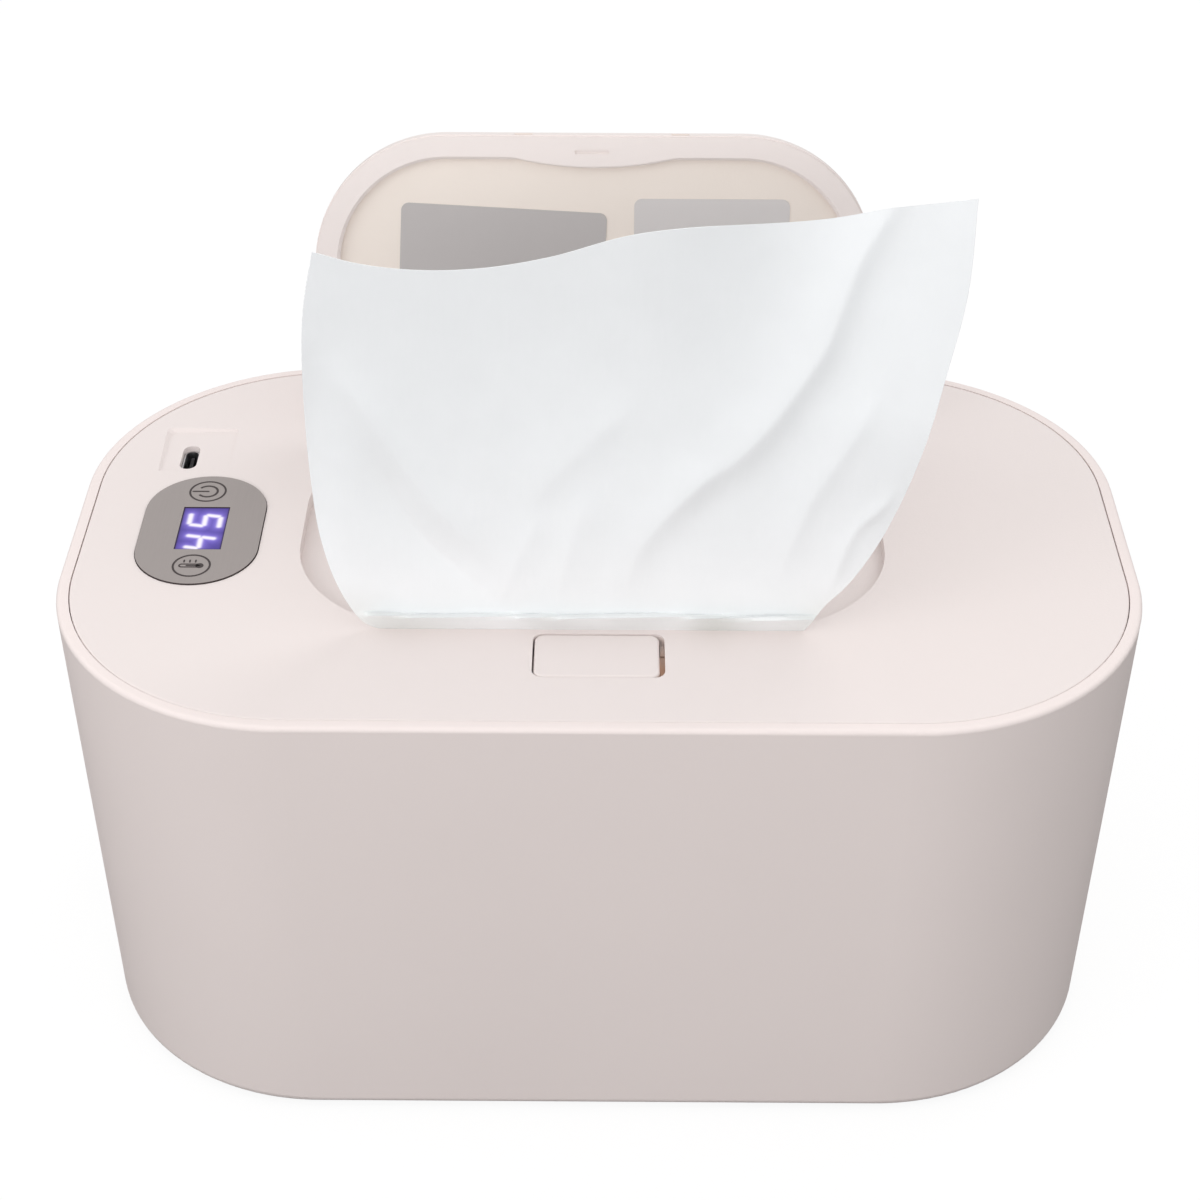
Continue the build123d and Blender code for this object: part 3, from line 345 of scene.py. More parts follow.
def brushed(name, shade, metallic=1.0, rough=0.35, strength=0.12):
    """Metal or film with long fine scratches."""
    made, shader = grained(
        name, brushed_lines(), 0.000006, Colour=shade, Roughness=rough, Strength=strength)
    shader.inputs["Metallic"].default_value = metallic
    return made


def recoloured(made, paint):
    """The finish with its plain colour replaced by one that paint works out in its graph."""
    g = Graph(made.node_tree)
    effect = next(node for node in made.node_tree.nodes if node.type == "GROUP")
    g.link(paint(g), effect.inputs["Colour"])
    return made


def cloth_finish():
    """White nonwoven that is greyer and smoother where the mesh is marked; the grey is dampness and
    painted shade, the smoothness dampness.
    """
    made, g, shader = material("wipe_nonwoven")
    effect = place_group(g, fibre_web(), Fibre=FIBRE_RATE)
    marked = g.node("ShaderNodeVertexColor", layer_name="damp_and_shade").outputs["Color"]
    damp_and_shade = g.node("ShaderNodeSeparateColor")
    g.link(marked, damp_and_shade.inputs[0])
    g.link(g.mix(damp_and_shade.outputs["Red"], colours().cloth, colours().damp_and_shade), effect.inputs["Colour"])
    g.link(effect.outputs["Colour"], shader.inputs["Base Color"])
    smoother = g.math("MULTIPLY", damp_and_shade.outputs["Red"], DRY_ROUGH - DAMP_ROUGH)
    g.link(g.math("SUBTRACT", DRY_ROUGH, smoother), shader.inputs["Roughness"])
    shader.inputs["Specular IOR Level"].default_value = 0.2
    shader.inputs["Sheen Weight"].default_value = 0.15
    shader.inputs["Sheen Roughness"].default_value = 0.6
    bump(g, shader, effect.outputs["Height"], FIBRE_RELIEF, 0.6)
    return made


def dress(finish, *names):
    """Gives CAD nodes a finish."""
    for name in names:
        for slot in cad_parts[name].material_slots:
            slot.material = finish


def lattice_faces(wide, tall):
    """Quads between the points of a lattice, counted row by row."""
    return [(j * wide + i, j * wide + i + 1, (j + 1) * wide + i + 1, (j + 1) * wide + i)
            for j in range(tall - 1) for i in range(wide - 1)]


def lattice_border(wide, tall):
    """Points round the edge of a lattice, in order."""
    last_row = (tall - 1) * wide
    return [*range(wide), *range(2 * wide - 1, tall * wide, wide),
            *range(tall * wide - 2, last_row - 1, -1), *range(last_row - wide, 0, -wide)]


def placed(name, data):
    """An object that holds this data, in the scene."""
    made = bpy.data.objects.new(name, data)
    bpy.context.scene.collection.objects.link(made)
    return made


def mesh_piece(name, verts, faces, finish, body, smooth=True):
    """A piece made of these points and faces, which moves with the body."""
    data = bpy.data.meshes.new(name)
    data.from_pydata([tuple(v) for v in verts], [], faces)
    data.update()
    piece = placed(name, data)
    data.materials.append(finish)
    for face in data.polygons:
        face.use_smooth = smooth
    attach(piece, body)
    return piece


# ---------------------------------------- stage
CAMERA_AT = (0.001533, -0.40902, 0.375662)
CAMERA_DOWN, CAMERA_YAW, CAMERA_ROLL = 35.596, -0.196, 0.223
CAMERA_LENS, CAMERA_SENSOR = 74.018, 36.0
CAMERA_NEAR = 0.01
LAMPS = [  # name, place and size in metres, power in watts
    ("left", (-0.9, -0.6, 0.6), (0.6, 0.6), 2.3),
    ("front", (0.0, -1.2, 0.4), (1.2, 0.3), 0.95),
    ("near", (-0.05, -0.42, 0.32), (0.5, 0.1), 0.36),
    ("back", (0.5, 0.6, 0.9), (0.6, 0.6), 1.4),
]
LAMP_AIM = (0, 0, 0.08)
FLOOR_HALF = 3.0
FLOOR_SHADE = (0.13, 0.13, 0.13)  # how much light it sends back onto the warmer
FLOOR_SEEN = 0.88  # what the camera sees on top of that
WORLD_LIGHT, WORLD_SEEN = 0.87, 1.0
WHITE = (1, 1, 1, 1)


class WARMER_OT_stage(Operator):
    """Pale floor, soft studio light and the camera."""

    bl_idname = "warmer.stage"
    bl_label = "Stage"

    def execute(self, context):
        self.camera(context)
        self.floor()
        for lamp in LAMPS:
            self.light(*lamp)
        self.world(context)
        context.scene.view_settings.view_transform = "Standard"
        return {"FINISHED"}

    def camera(self, context):
        down, yaw, roll = (math.radians(a) for a in (CAMERA_DOWN, CAMERA_YAW, CAMERA_ROLL))
        ahead = Vector((math.sin(yaw) * math.cos(down), math.cos(yaw) * math.cos(down), -math.sin(down)))
        right = ahead.cross(Vector((0, 0, 1))).normalized()
        up = right.cross(ahead)
        right_turned = right * math.cos(roll) + up * math.sin(roll)
        up_turned = up * math.cos(roll) - right * math.sin(roll)
        data = bpy.data.cameras.new("camera")
        data.sensor_fit = "HORIZONTAL"
        data.sensor_width = CAMERA_SENSOR
        data.lens = CAMERA_LENS
        data.clip_start = CAMERA_NEAR
        made = placed("camera", data)
        turn = Matrix((right_turned, up_turned, -ahead)).transposed().to_4x4()
        made.matrix_world = Matrix.Translation(CAMERA_AT) @ turn
        context.scene.camera = made

    def floor(self):
        finish, g, shader = material("floor_paper")
        shader.inputs["Roughness"].default_value = 0.95
        shader.inputs["Specular IOR Level"].default_value = 0.0
        shader.inputs["Base Color"].default_value = opaque(FLOOR_SHADE)
        out = finish.node_tree.nodes["Material Output"]
        path = g.node("ShaderNodeLightPath")
        glow = g.node("ShaderNodeEmission")
        glow.inputs["Color"].default_value = WHITE
        glow.inputs["Strength"].default_value = FLOOR_SEEN
        seen = g.node("ShaderNodeAddShader")
        g.link(shader.outputs[0], seen.inputs[0])
        g.link(glow.outputs[0], seen.inputs[1])
        chosen = g.choose(path.outputs["Is Camera Ray"], shader.outputs[0], seen.outputs[0])
        g.link(chosen, out.inputs["Surface"])
        data = bpy.data.meshes.new("floor")
        turns = ((-1, -1), (1, -1), (1, 1), (-1, 1))
        data.from_pydata([(x * FLOOR_HALF, y * FLOOR_HALF, 0) for x, y in turns], [], [(0, 1, 2, 3)])
        data.materials.append(finish)
        floor = placed("floor", data)

    def light(self, name, place, size, power):
        data = bpy.data.lights.new(name, "AREA")
        data.shape = "RECTANGLE"
        data.size, data.size_y = size
        data.energy = power
        made = placed(name, data)
        aim = Vector(LAMP_AIM) - Vector(place)
        made.rotation_euler = aim.to_track_quat("-Z", "Y").to_euler()
        made.location = place

    def world(self, context):
        world = bpy.data.worlds.new("studio")
        context.scene.world = world
        world.use_nodes = True
        g = Graph(world.node_tree)
        world.node_tree.nodes.clear()
        out = g.node("ShaderNodeOutputWorld")
        path = g.node("ShaderNodeLightPath")
        soft = g.node("ShaderNodeBackground")
        soft.inputs["Strength"].default_value = WORLD_LIGHT
        seen = g.node("ShaderNodeBackground")
        seen.inputs["Strength"].default_value = WORLD_SEEN
        for shader in (soft, seen):
            shader.inputs["Color"].default_value = WHITE
        view = g.math("MAXIMUM", path.outputs["Is Camera Ray"], path.outputs["Is Transmission Ray"])
        g.link(g.choose(view, soft.outputs[0], seen.outputs[0]), out.inputs["Surface"])


# ---------------------------------------- finishes of the moulded pieces
GAP_SHADE_X, GAP_SHADE_Y, GAP_SHADE_Z = (0.01145, 0.0136), (-0.0486, -0.0346), (0.0900, 0.0997)  # box right of the button that holds the painted warm shade
GAP_SHADE_RISE = 1.6  # how fast the painted warm shade grows from the gap's back to its front


class WARMER_OT_housing(Operator):
    """Satin plastic on the tub, deck, button and tray, and rubber on the feet."""

    bl_idname = "warmer.housing"
    bl_label = "Tub, deck and button"

    def execute(self, context):
        shades = colours()
        deck = plastic("deck_plastic", shades.deck)
        rubber = plastic("feet_rubber", shades.rubber, rough=0.8, spacing=0.0009, relief=0.00006)
        silicone = plastic("soft_silicone", shades.silicone, rough=0.55, spacing=0.0012)
        dress(plastic("tub_plastic", shades.tub, rough=0.55), "tub_shell")
        dress(recoloured(deck, self.deck_with_painted_gap_shade), "deck", "latch_button")
        dress(plastic("tray_plastic", shades.tub, rough=0.5), "under_tray", "latch_housing", "latch_yoke")
        dress(rubber, "rubber_feet")
        dress(silicone, "cover_seal", "dispensing_ring")
        return {"FINISHED"}

    def deck_with_painted_gap_shade(self, g):
        """The deck's colour, with painted warm shade in the gap right of the button, less towards the
        back.
        """
        place = g.node("ShaderNodeSeparateXYZ")
        g.link(g.place(), place.inputs[0])
        back, depth = GAP_SHADE_Y[1], GAP_SHADE_Y[1] - GAP_SHADE_Y[0]
        forwards = g.math("DIVIDE", g.math("SUBTRACT", back, place.outputs["Y"]), depth)
        inside = g.math("MINIMUM", g.math("MULTIPLY", forwards, GAP_SHADE_RISE), 1.0)
        for axis, (low, high) in (("X", GAP_SHADE_X), ("Y", GAP_SHADE_Y), ("Z", GAP_SHADE_Z)):
            inside = g.math("MULTIPLY", inside, g.math("GREATER_THAN", place.outputs[axis], low))
            inside = g.math("MULTIPLY", inside, g.math("LESS_THAN", place.outputs[axis], high))
        return g.mix(inside, colours().deck, colours().gap)


HINGE_AT = (0.0, 0.0335, 0.0985)  # a point on the hinge line
LID_OPEN = math.radians(104)  # turn of the open lid
LID_INWARDS = (0.0, -math.sin(LID_OPEN), -math.cos(LID_OPEN))  # the way the open lid's inside faces
NEARLY_FLAT = 0.9  # cosine beyond which a face counts as the lid's inner floor


class WARMER_OT_lid(Operator):
    """Finishes of the lid, its liner and its two bare labels."""

    bl_idname = "warmer.lid"
    bl_label = "Lid"

    def execute(self, context):
        shades = colours()
        dress(plastic("lid_plastic", shades.rim), "lid_liner")
        dress(recoloured(plastic("lid_shell_plastic", shades.rim), self.shell_shade), "lid_shell")
        # the two label greys differ by painted shade and painted light
        for name, shade in (("label_left", shades.label_left), ("label_right", shades.label_right)):
            stock = plastic(name + "_stock", shade, rough=0.35, spacing=0.0002, relief=0.000006, coat=0.15)
            dress(stock, name)
        return {"FINISHED"}

    def shell_shade(self, g):
        """The lid's colour, warmer on its inner floor, which is told by its place and its normal."""
        coords = g.node("ShaderNodeTexCoord")
        flat = g.math("GREATER_THAN", self.inwards(g, coords.outputs["Normal"]), NEARLY_FLAT)
        from_hinge = g.node("ShaderNodeVectorMath", operation="SUBTRACT")
        g.link(coords.outputs["Object"], from_hinge.inputs[0])
        from_hinge.inputs[1].default_value = HINGE_AT
        sunk = g.math("LESS_THAN", self.inwards(g, from_hinge.outputs[0]), 0.0)
        return g.mix(g.math("MULTIPLY", flat, sunk), colours().rim, colours().dish)

    def inwards(self, g, vector):
        """How far a vector points the way the open lid's inside faces."""
        share = g.node("ShaderNodeVectorMath", operation="DOT_PRODUCT")
        g.link(vector, share.inputs[0])
        share.inputs[1].default_value = LID_INWARDS
        return share.outputs["Value"]


# ---------------------------------------- display
SEGMENTS = {  # each segment of a digit: ends as shares of the digit's width and height from its lower left
    "a": ((0, 2), (1, 2)), "b": ((1, 2), (1, 1)), "c": ((1, 1), (1, 0)), "d": ((0, 0), (1, 0)),
    "e": ((0, 1), (0, 0)), "f": ((0, 2), (0, 1)), "g": ((0, 1), (1, 1)),
}
DIGITS = {"4": "bcfg", "5": "acdfg"}
READING = "45"
DIGIT_WIDTH, DIGIT_GAP = 0.65, 0.64  # shares of the digit's height
DIGIT_LEAN = 0.19  # how far a digit's top leans over, as a share of its height
DIGIT_LEFT = -0.0070  # reading start, along +Y from the window's middle
DIGIT_FOOT = -0.0032  # foot of the digits, against +X from the window's middle
SEGMENT_IN = 0.55  # a segment stops this share of its width short of its corner
SEGMENT_BLUR, GLOW_REACH = 0.00012, 0.0012
LATTICE = 0.0001  # spacing of the window's points, which carry its colours
EDGE_LINE, EDGE_LINE_SHARE = 0.00022, 0.9  # dark line along the window's edge
EDGE_FADE, EDGE_FADE_SHARE = 0.0012, 0.35  # and the fade inside it


def lit_segments(height):
    """End points of every lit segment, along the reading direction and up the digits."""
    found = []
    width = height * DIGIT_WIDTH
    for place, digit in enumerate(READING):
        left = DIGIT_LEFT + place * (width + height * DIGIT_GAP)
        for name in DIGITS[digit]:
            found.append([
                (left + across * width + DIGIT_LEAN * (up - 1) * height / 2, DIGIT_FOOT + up * height / 2)
                for across, up in SEGMENTS[name]])
    return found


def distance_to_segment(u, v, ends, shorten):
    """Distance of points from a segment that is shortened at both ends."""
    (u0, v0), (u1, v1) = ends
    length = math.hypot(u1 - u0, v1 - v0)
    du, dv = (u1 - u0) / length, (v1 - v0) / length
    along = np.clip((u - u0) * du + (v - v0) * dv, shorten, length - shorten)
    return np.hypot(u - u0 - along * du, v - v0 - along * dv)


class WARMER_OT_display(Operator):
    """Lit violet window with two seven-segment digits."""

    bl_idname = "warmer.display"
    bl_label = "Display"

    def execute(self, context):
        low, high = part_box("display_lens")
        wide = round((high[0] - low[0]) / LATTICE) + 1
        tall = round((high[1] - low[1]) / LATTICE) + 1
        columns, rows = np.linspace(low[0], high[0], wide), np.linspace(low[1], high[1], tall)
        grid_x, grid_y = np.meshgrid(columns, rows)
        verts = [(x, y, high[2]) for x, y in zip(grid_x.ravel(), grid_y.ravel())]
        faces = lattice_faces(wide, tall)
        border = lattice_border(wide, tall)
        base, size = len(verts), len(border)
        verts += [(verts[k][0], verts[k][1], low[2]) for k in border]
        following = [*range(1, size), 0]
        faces += [(border[k], base + k, base + n, border[n]) for k, n in enumerate(following)]
        faces.append(tuple(base + k for k in range(size))[::-1])
        piece = mesh_piece("display_window", verts, faces, self.finish(), "cover", smooth=False)
        values = np.zeros((len(verts), 4))
        values[:base, :3] = self.lit(grid_x, grid_y, low, high)
        values[:, 3] = 1
        layer = piece.data.color_attributes.new("lit", "FLOAT_COLOR", "POINT")
        layer.data.foreach_set("color", values.ravel())
        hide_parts("display_lens")
        return {"FINISHED"}

    def lit(self, x, y, low, high):
        """For each point of the window, how much it is segment, glow and border."""
        u, v = y - (low[1] + high[1]) / 2, (low[0] + high[0]) / 2 - x
        stroke = sizes().stroke
        segments = lit_segments(sizes().digit_height)
        near = np.min([distance_to_segment(u, v, ends, stroke * SEGMENT_IN) for ends in segments], axis=0)
        core = 1 / (1 + np.exp((near - stroke / 2) / SEGMENT_BLUR))
        glow = np.exp(-near / GLOW_REACH)
        to_edge = np.min([x - low[0], high[0] - x, y - low[1], high[1] - y], axis=0)
        line = EDGE_LINE_SHARE * np.exp(-((to_edge / EDGE_LINE) ** 2))
        fade = EDGE_FADE_SHARE * np.exp(-to_edge / EDGE_FADE)
        return np.stack([core, glow, np.clip(line + fade, 0, 1)], axis=-1).reshape(-1, 3)

    def finish(self):
        """Light whose colours follow the marks on the window's points."""
        made, g, shader = material("display_glow")
        lit = g.node("ShaderNodeVertexColor", layer_name="lit").outputs["Color"]
        parts = g.node("ShaderNodeSeparateColor")
        g.link(lit, parts.inputs[0])
        shades = colours()
        field = g.mix(parts.outputs["Green"], shades.field, shades.halo)
        edged = g.mix(parts.outputs["Blue"], field, shades.border)
        final = g.mix(parts.outputs["Red"], edged, shades.segment)
        g.link(final, shader.inputs["Emission Color"])
        shader.inputs["Emission Strength"].default_value = 1.0
        shader.inputs["Specular IOR Level"].default_value = 0.1
        cloud = g.noise(g.place(), 900.0)
        glass = g.ramp(cloud, (0.3, (0.01, 0.008, 0.02)), (0.7, (0.02, 0.015, 0.035)))
        g.link(glass, shader.inputs["Base Color"])
        shader.inputs["Roughness"].default_value = 0.3
        return made


# ---------------------------------------- printed key marks
POWER_KEY = (-0.0005, 0.01345)  # key centres, from the touch panel's middle
WARMTH_KEY = (-0.0002, -0.01305)
# the signs in the rings: places along X are shares of the ring's radius, widths and the bulb's
# and scale's sizes are shares of the printed line
POWER_ARC, POWER_ARC_LINE = 0.58, 1.15
POWER_ARC_GAP = math.radians(38)  # the arc stops this far from its middle line
POWER_BAR, POWER_BAR_LINE = -0.78, 1.05
POWER_BAR_END = 0.0001  # in metres
BULB_AT, BULB_RADIUS = 0.42, 2.0
STEM_FOOT, STEM_TOP, STEM_HALF, STEM_LINE, CAP_LINE = 0.3, -0.5, 1.25, 0.75, 0.74
COLUMN_FOOT, COLUMN_TOP, COLUMN_LINE = 0.4, -0.25, 0.9
SCALE_AT, SCALE_FROM, SCALE_TO, SCALE_LINE = (-0.42, -0.12, 0.18), 3.0, 4.6, 0.8
PINHOLE = 0.00001  # inner radius of a ring that reads as a full disc
PRINT_THICKNESS = 0.00004


def ring_faces(outer, inner, start=0.0, end=2 * math.pi, steps=72):
    """Flat ring or arc as points in the plane and quads."""
    points = []
    for k in range(steps + 1):
        angle = start + (end - start) * k / steps
        points.append((outer * math.cos(angle), outer * math.sin(angle)))
        points.append((inner * math.cos(angle), inner * math.sin(angle)))
    return points, [(2 * k, 2 * k + 2, 2 * k + 3, 2 * k + 1) for k in range(steps)]


def bar_faces(start, end, width, steps=8):
    """Round-ended bar between two points in the plane."""
    axis = Vector(end) - Vector(start)
    angle = math.atan2(axis.y, axis.x)
    points = []
    for centre, first in ((end, -90), (start, 90)):
        for k in range(steps + 1):
            turn = angle + math.radians(first + 180 * k / steps)
            points.append((centre[0] + width / 2 * math.cos(turn), centre[1] + width / 2 * math.sin(turn)))
    return points, [tuple(range(len(points)))]


def moved(shape, along):
    """The points and faces of a flat shape, moved along X."""
    points, faces = shape
    return [(x + along, y) for x, y in points], faces


class WARMER_OT_keys(Operator):
    """Printed rings and symbols of the two touch keys, a hair thick on the panel."""

    bl_idname = "warmer.keys"
    bl_label = "Key marks"

    def execute(self, context):
        low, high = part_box("touch_panel")
        middle = ((low[0] + high[0]) / 2, (low[1] + high[1]) / 2)
        line = sizes().line
        outer = sizes().ring_diameter / 2
        ring = ring_faces(outer, outer - line)
        power = [ring, *self.power_sign(outer, line)]
        warmth = [ring, *self.thermometer(outer, line)]
        finish = self.finish()
        for name, key, marks in (("power_mark", POWER_KEY, power), ("warmth_mark", WARMTH_KEY, warmth)):
            self.stamp(name, (middle[0] + key[0], middle[1] + key[1], high[2]), marks, finish)
        return {"FINISHED"}

    def power_sign(self, outer, line):
        """An open arc and a bar."""
        inner = outer * POWER_ARC
        ends = math.pi - POWER_ARC_GAP
        yield ring_faces(inner, inner - line * POWER_ARC_LINE, -ends, ends, 48)
        yield bar_faces((outer * POWER_BAR, 0), (POWER_BAR_END, 0), line * POWER_BAR_LINE)

    def thermometer(self, outer, line):
        """Stem towards -X, bulb towards +X, and three scale strokes beside it."""
        half = line * STEM_HALF
        yield moved(ring_faces(line * BULB_RADIUS, PINHOLE, steps=32), outer * BULB_AT)
        cap_half = line * CAP_LINE / 2
        cap = ring_faces(half + cap_half, half - cap_half, math.pi / 2, 1.5 * math.pi, 16)
        yield moved(cap, outer * STEM_TOP)
        yield bar_faces((outer * COLUMN_FOOT, 0), (outer * COLUMN_TOP, 0), line * COLUMN_LINE)
        for side in (half, -half):
            yield bar_faces((outer * STEM_FOOT, side), (outer * STEM_TOP, side), line * STEM_LINE)
        for at in SCALE_AT:
            x = outer * at
            yield bar_faces((x, line * SCALE_FROM), (x, line * SCALE_TO), line * SCALE_LINE)

    def stamp(self, name, place, marks, finish):
        """Makes one piece of all the marks, standing a hair above the panel."""
        verts, faces = [], []
        for points, shapes in marks:
            first = len(verts)
            verts += [(place[0] + x, place[1] + y, place[2] + PRINT_THICKNESS) for x, y in points]
            faces += [tuple(first + k for k in shape) for shape in shapes]
        piece = mesh_piece(name, verts, faces, finish, "cover", smooth=False)
        work = bmesh.new()
        work.from_mesh(piece.data)
        bmesh.ops.recalc_face_normals(work, faces=work.faces)
        for face in work.faces:
            if face.normal.z < 0:
                face.normal_flip()
        grown = bmesh.ops.extrude_face_region(work, geom=work.faces[:])
        for element in grown["geom"]:
            if isinstance(element, bmesh.types.BMVert):
                element.co.z -= PRINT_THICKNESS
        bmesh.ops.recalc_face_normals(work, faces=work.faces)
        work.to_mesh(piece.data)
        work.free()

    def finish(self):
        """Dark ink with fine lighter specks."""
        made, g, shader = material("key_print")
        speck = g.noise(g.place(), 3000.0)
        dark = colours().print_
        light = [channel * 1.5 for channel in dark]
        g.link(g.ramp(speck, (0.3, dark), (0.8, light)), shader.inputs["Base Color"])
        shader.inputs["Roughness"].default_value = 0.5
        return made


# ---------------------------------------- inside pieces
PANEL_EDGE_PAINTED_SHADE = (0.05, 0.035, 0.035)  # painted shade on the touch panel's side faces
FILM_AMBER, TRACK_DARK = (0.55, 0.22, 0.03), (0.12, 0.07, 0.04)
TRACK_RATE = 60.0  # how close the heater's bands lie


class WARMER_OT_inside(Operator):
    """Finishes of the touch panel, board, heater, fixings and springs."""

    bl_idname = "warmer.inside"
    bl_label = "Inside pieces"

    def execute(self, context):
        shades = colours()
        steel = brushed("zinc_steel", shades.metal, rough=0.32)
        wire = brushed("spring_wire", shades.metal, rough=0.25, strength=0.05)
        black = plastic("black_moulding", (0.012, 0.012, 0.013), rough=0.4)
        board = plastic("solder_mask", shades.board, rough=0.25, spacing=0.0012, relief=0.00001, coat=0.3)
        foam = plastic("pad_foam", (0.42, 0.43, 0.45), rough=0.9, spacing=0.0006, relief=0.0001)
        panel = brushed("panel_film", shades.panel, metallic=0.0, rough=0.42, strength=0.10)
        dress(recoloured(panel, self.panel_with_painted_edge_shade), "touch_panel")
        dress(brushed("heat_aluminium", (0.78, 0.79, 0.80)), "heat_plate")
        dress(steel, "plate_screws", "cover_screws", "board_screws", "latch_screws", "hinge_pin",
              "usb_shell")
        dress(wire, "hinge_spring", "button_springs", "latch_spring", "touch_springs")
        dress(black, "usb_tongue", "controller_chip", "power_transistor", "buzzer", "thermistor",
              "thermal_fuse", "display_module")
        dress(board, "control_board")
        dress(foam, "insulation_pad")
        dress(plastic("nylon", (0.82, 0.76, 0.62), rough=0.45), "wire_connector")
        dress(plastic("red_lead", (0.5, 0.03, 0.02), rough=0.5), "heater_leads")
        dress(plastic("white_lead", (0.8, 0.8, 0.78), rough=0.5), "sensor_leads")
        dress(self.film(), "heater_film")
        return {"FINISHED"}

    def panel_with_painted_edge_shade(self, g):
        """The panel's grey, with painted shade on its side faces, which are told by their normal."""
        facing = g.node("ShaderNodeSeparateXYZ")
        g.link(g.node("ShaderNodeTexCoord").outputs["Normal"], facing.inputs[0])
        top = g.math("GREATER_THAN", facing.outputs["Z"], 0.5)
        return g.mix(top, PANEL_EDGE_PAINTED_SHADE, colours().panel)

    def film(self):
        """Amber film with dark etched bands across it."""
        made, g, shader = material("heater_track")
        track = g.node("ShaderNodeTexWave", wave_type="BANDS", bands_direction="X")
        track.inputs["Scale"].default_value = TRACK_RATE
        track.inputs["Distortion"].default_value = 0.0
        g.link(g.place(), track.inputs["Vector"])
        tone = g.ramp(track.outputs["Fac"], (0.45, FILM_AMBER), (0.55, TRACK_DARK))
        g.link(tone, shader.inputs["Base Color"])
        shader.inputs["Roughness"].default_value = 0.25
        return made


# ---------------------------------------- the standing wipe
# lengths are in mm here, up to the mesh
FOOT_Y, FOOT_Z = -33.0, 99.3  # foot of the leaf
LEAN = math.radians(5.7)  # backwards
OUTWARDS = (0.0, -0.81, 0.58)  # way in which the folds stand out of the leaf
# edges of the leaf, as (x, height) in its own plane
LEFT_EDGE = [(-41, 0.2), (-43.6, 1.3), (-45.6, 3.4), (-47.2, 6.2), (-48.8, 10), (-51.4, 20),
             (-52.7, 34), (-52.9, 50), (-51.8, 66), (-49.8, 75.8)]
TOP_EDGE = [(-49.8, 75.8), (-42.4, 73.8), (-32, 72.7), (-21, 73.2), (-9, 75.4), (4.3, 79.3),
            (14.3, 81.0), (27.4, 82.6), (40.6, 84.2), (51.5, 85.9), (65.4, 87.2)]
RIGHT_EDGE = [(38.6, 0.2), (40.4, 2.8), (42.4, 5.9), (45.4, 9.2), (51.2, 18.6), (54.4, 26.3),
              (58.3, 38.9), (61.2, 52.4), (64.2, 68), (65.4, 87.2)]
# ridges of the leaf from their top down, as (x, height); how far each stands out; how far its flanks
# reach, left and right of a walker who comes down it, seen from the front
RIDGES = [
    ([(60, 104), (54, 93), (50, 84), (46, 76), (43, 67), (40, 58), (35.5, 50), (31, 43), (25, 36),
      (17.5, 30), (11.5, 22.5), (5, 11)], 2.3, 4.2, 11.0),
    ([(51, 54), (48, 45), (43.5, 36), (39, 28), (35.5, 18.5), (32, 6)], 0.8, 3.0, 6.0),
    ([(55, 33), (52, 27), (47.5, 22), (44, 12), (42, 5)], 0.8, 1.8, 3.0),
    ([(-49, 58), (-45.5, 52), (-40.5, 43), (-35.5, 34), (-29, 24.5), (-22, 17), (-15, 11)], 1.7, 6.0, 4.5),
    ([(-43, 39), (-39, 32), (-33, 21), (-26, 13), (-18, 5)], -1.3, 4.5, 5.5),
    ([(8, 50), (4.5, 45.5), (-1.5, 39.5), (-8.5, 32), (-16, 22)], 0.6, 4.5, 10.0),
    ([(22, 38), (19.5, 32), (13, 25), (7.5, 17), (4, 5)], 0.9, 3.5, 7.0),
    ([(-10, 27), (-13, 19.5), (-17.5, 8.5), (-19, 3)], 0.6, 5.0, 5.0),
    ([(-1, 32), (-3.5, 23.5), (-7.5, 8.5), (-8.5, 3)], 0.6, 5.0, 5.0),
]
RIDGE_STEPS = 40  # points along a ridge's curve
RIDGE_START, RIDGE_END = 0.3, 0.4  # shares of a ridge's length over which it rises and dies away
FLANK_SHARE, FLANK_POWER = 0.7, 1.4  # how quickly a ridge's flank falls off within its reach
RIDGES_GROW = 8  # height over which the ridges grow out of the foot
# broad bends: how far out (or back), over which heights, and where across the leaf
MIDDLE_BACK, MIDDLE_HEIGHTS, MIDDLE_X, MIDDLE_REACH = 3.5, (5, 65), -5, 34
RIGHT_BACK, RIGHT_HEIGHT, RIGHT_POWER, RIGHT_FROM = 14.0, 80, 1.7, (5, 48)
FORWARD, FORWARD_HEIGHTS, FORWARD_X, FORWARD_ROUND = 0.14, (5, 45), 32, 9
OVERHANG, OVERHANG_HEIGHT = 3.2, 8  # the leaf leans out over its foot
CURL, CURL_REACH = 2.0, 4  # the left edge curls back
CURL_FROM, CURL_TO = (8, 30), (40, 60)  # heights over which the curl comes and goes
# the fold along the foot: height of its crest, how far it stands out, how high its slope reaches above
FOLD_CREST, FOLD_OUT, FOLD_STEEP = 2.9, 3.2, 0.8
FOLD_LEFT, FOLD_RIGHT = (-46, -40), (37, 43)  # where across it comes and goes
CREST_WAVE, FOLD_WAVE = 0.25, 0.15  # how much its crest and its depth wander
DAMP_AND_SHADE_MIDDLE, DAMP_AND_SHADE_WAVE = 0.35, 0.15  # how grey the fold is, from dampness and painted shade, and how much that wanders
DAMP_AND_SHADE_SPOTS = [(-36, 5, 0.35), (21, 5, 0.65)]  # greyer places along the fold, from dampness and painted shade: x, reach, share
CREEP, CREEP_HEIGHT = 0.35, 3.5  # grey from dampness and painted shade that creeps up from the fold
# grey from dampness and painted shade in the leaf's lower corners and on the tail inside the opening
CORNER_DAMP_AND_SHADE, TAIL_DAMP_AND_SHADE = 0.25, 0.8
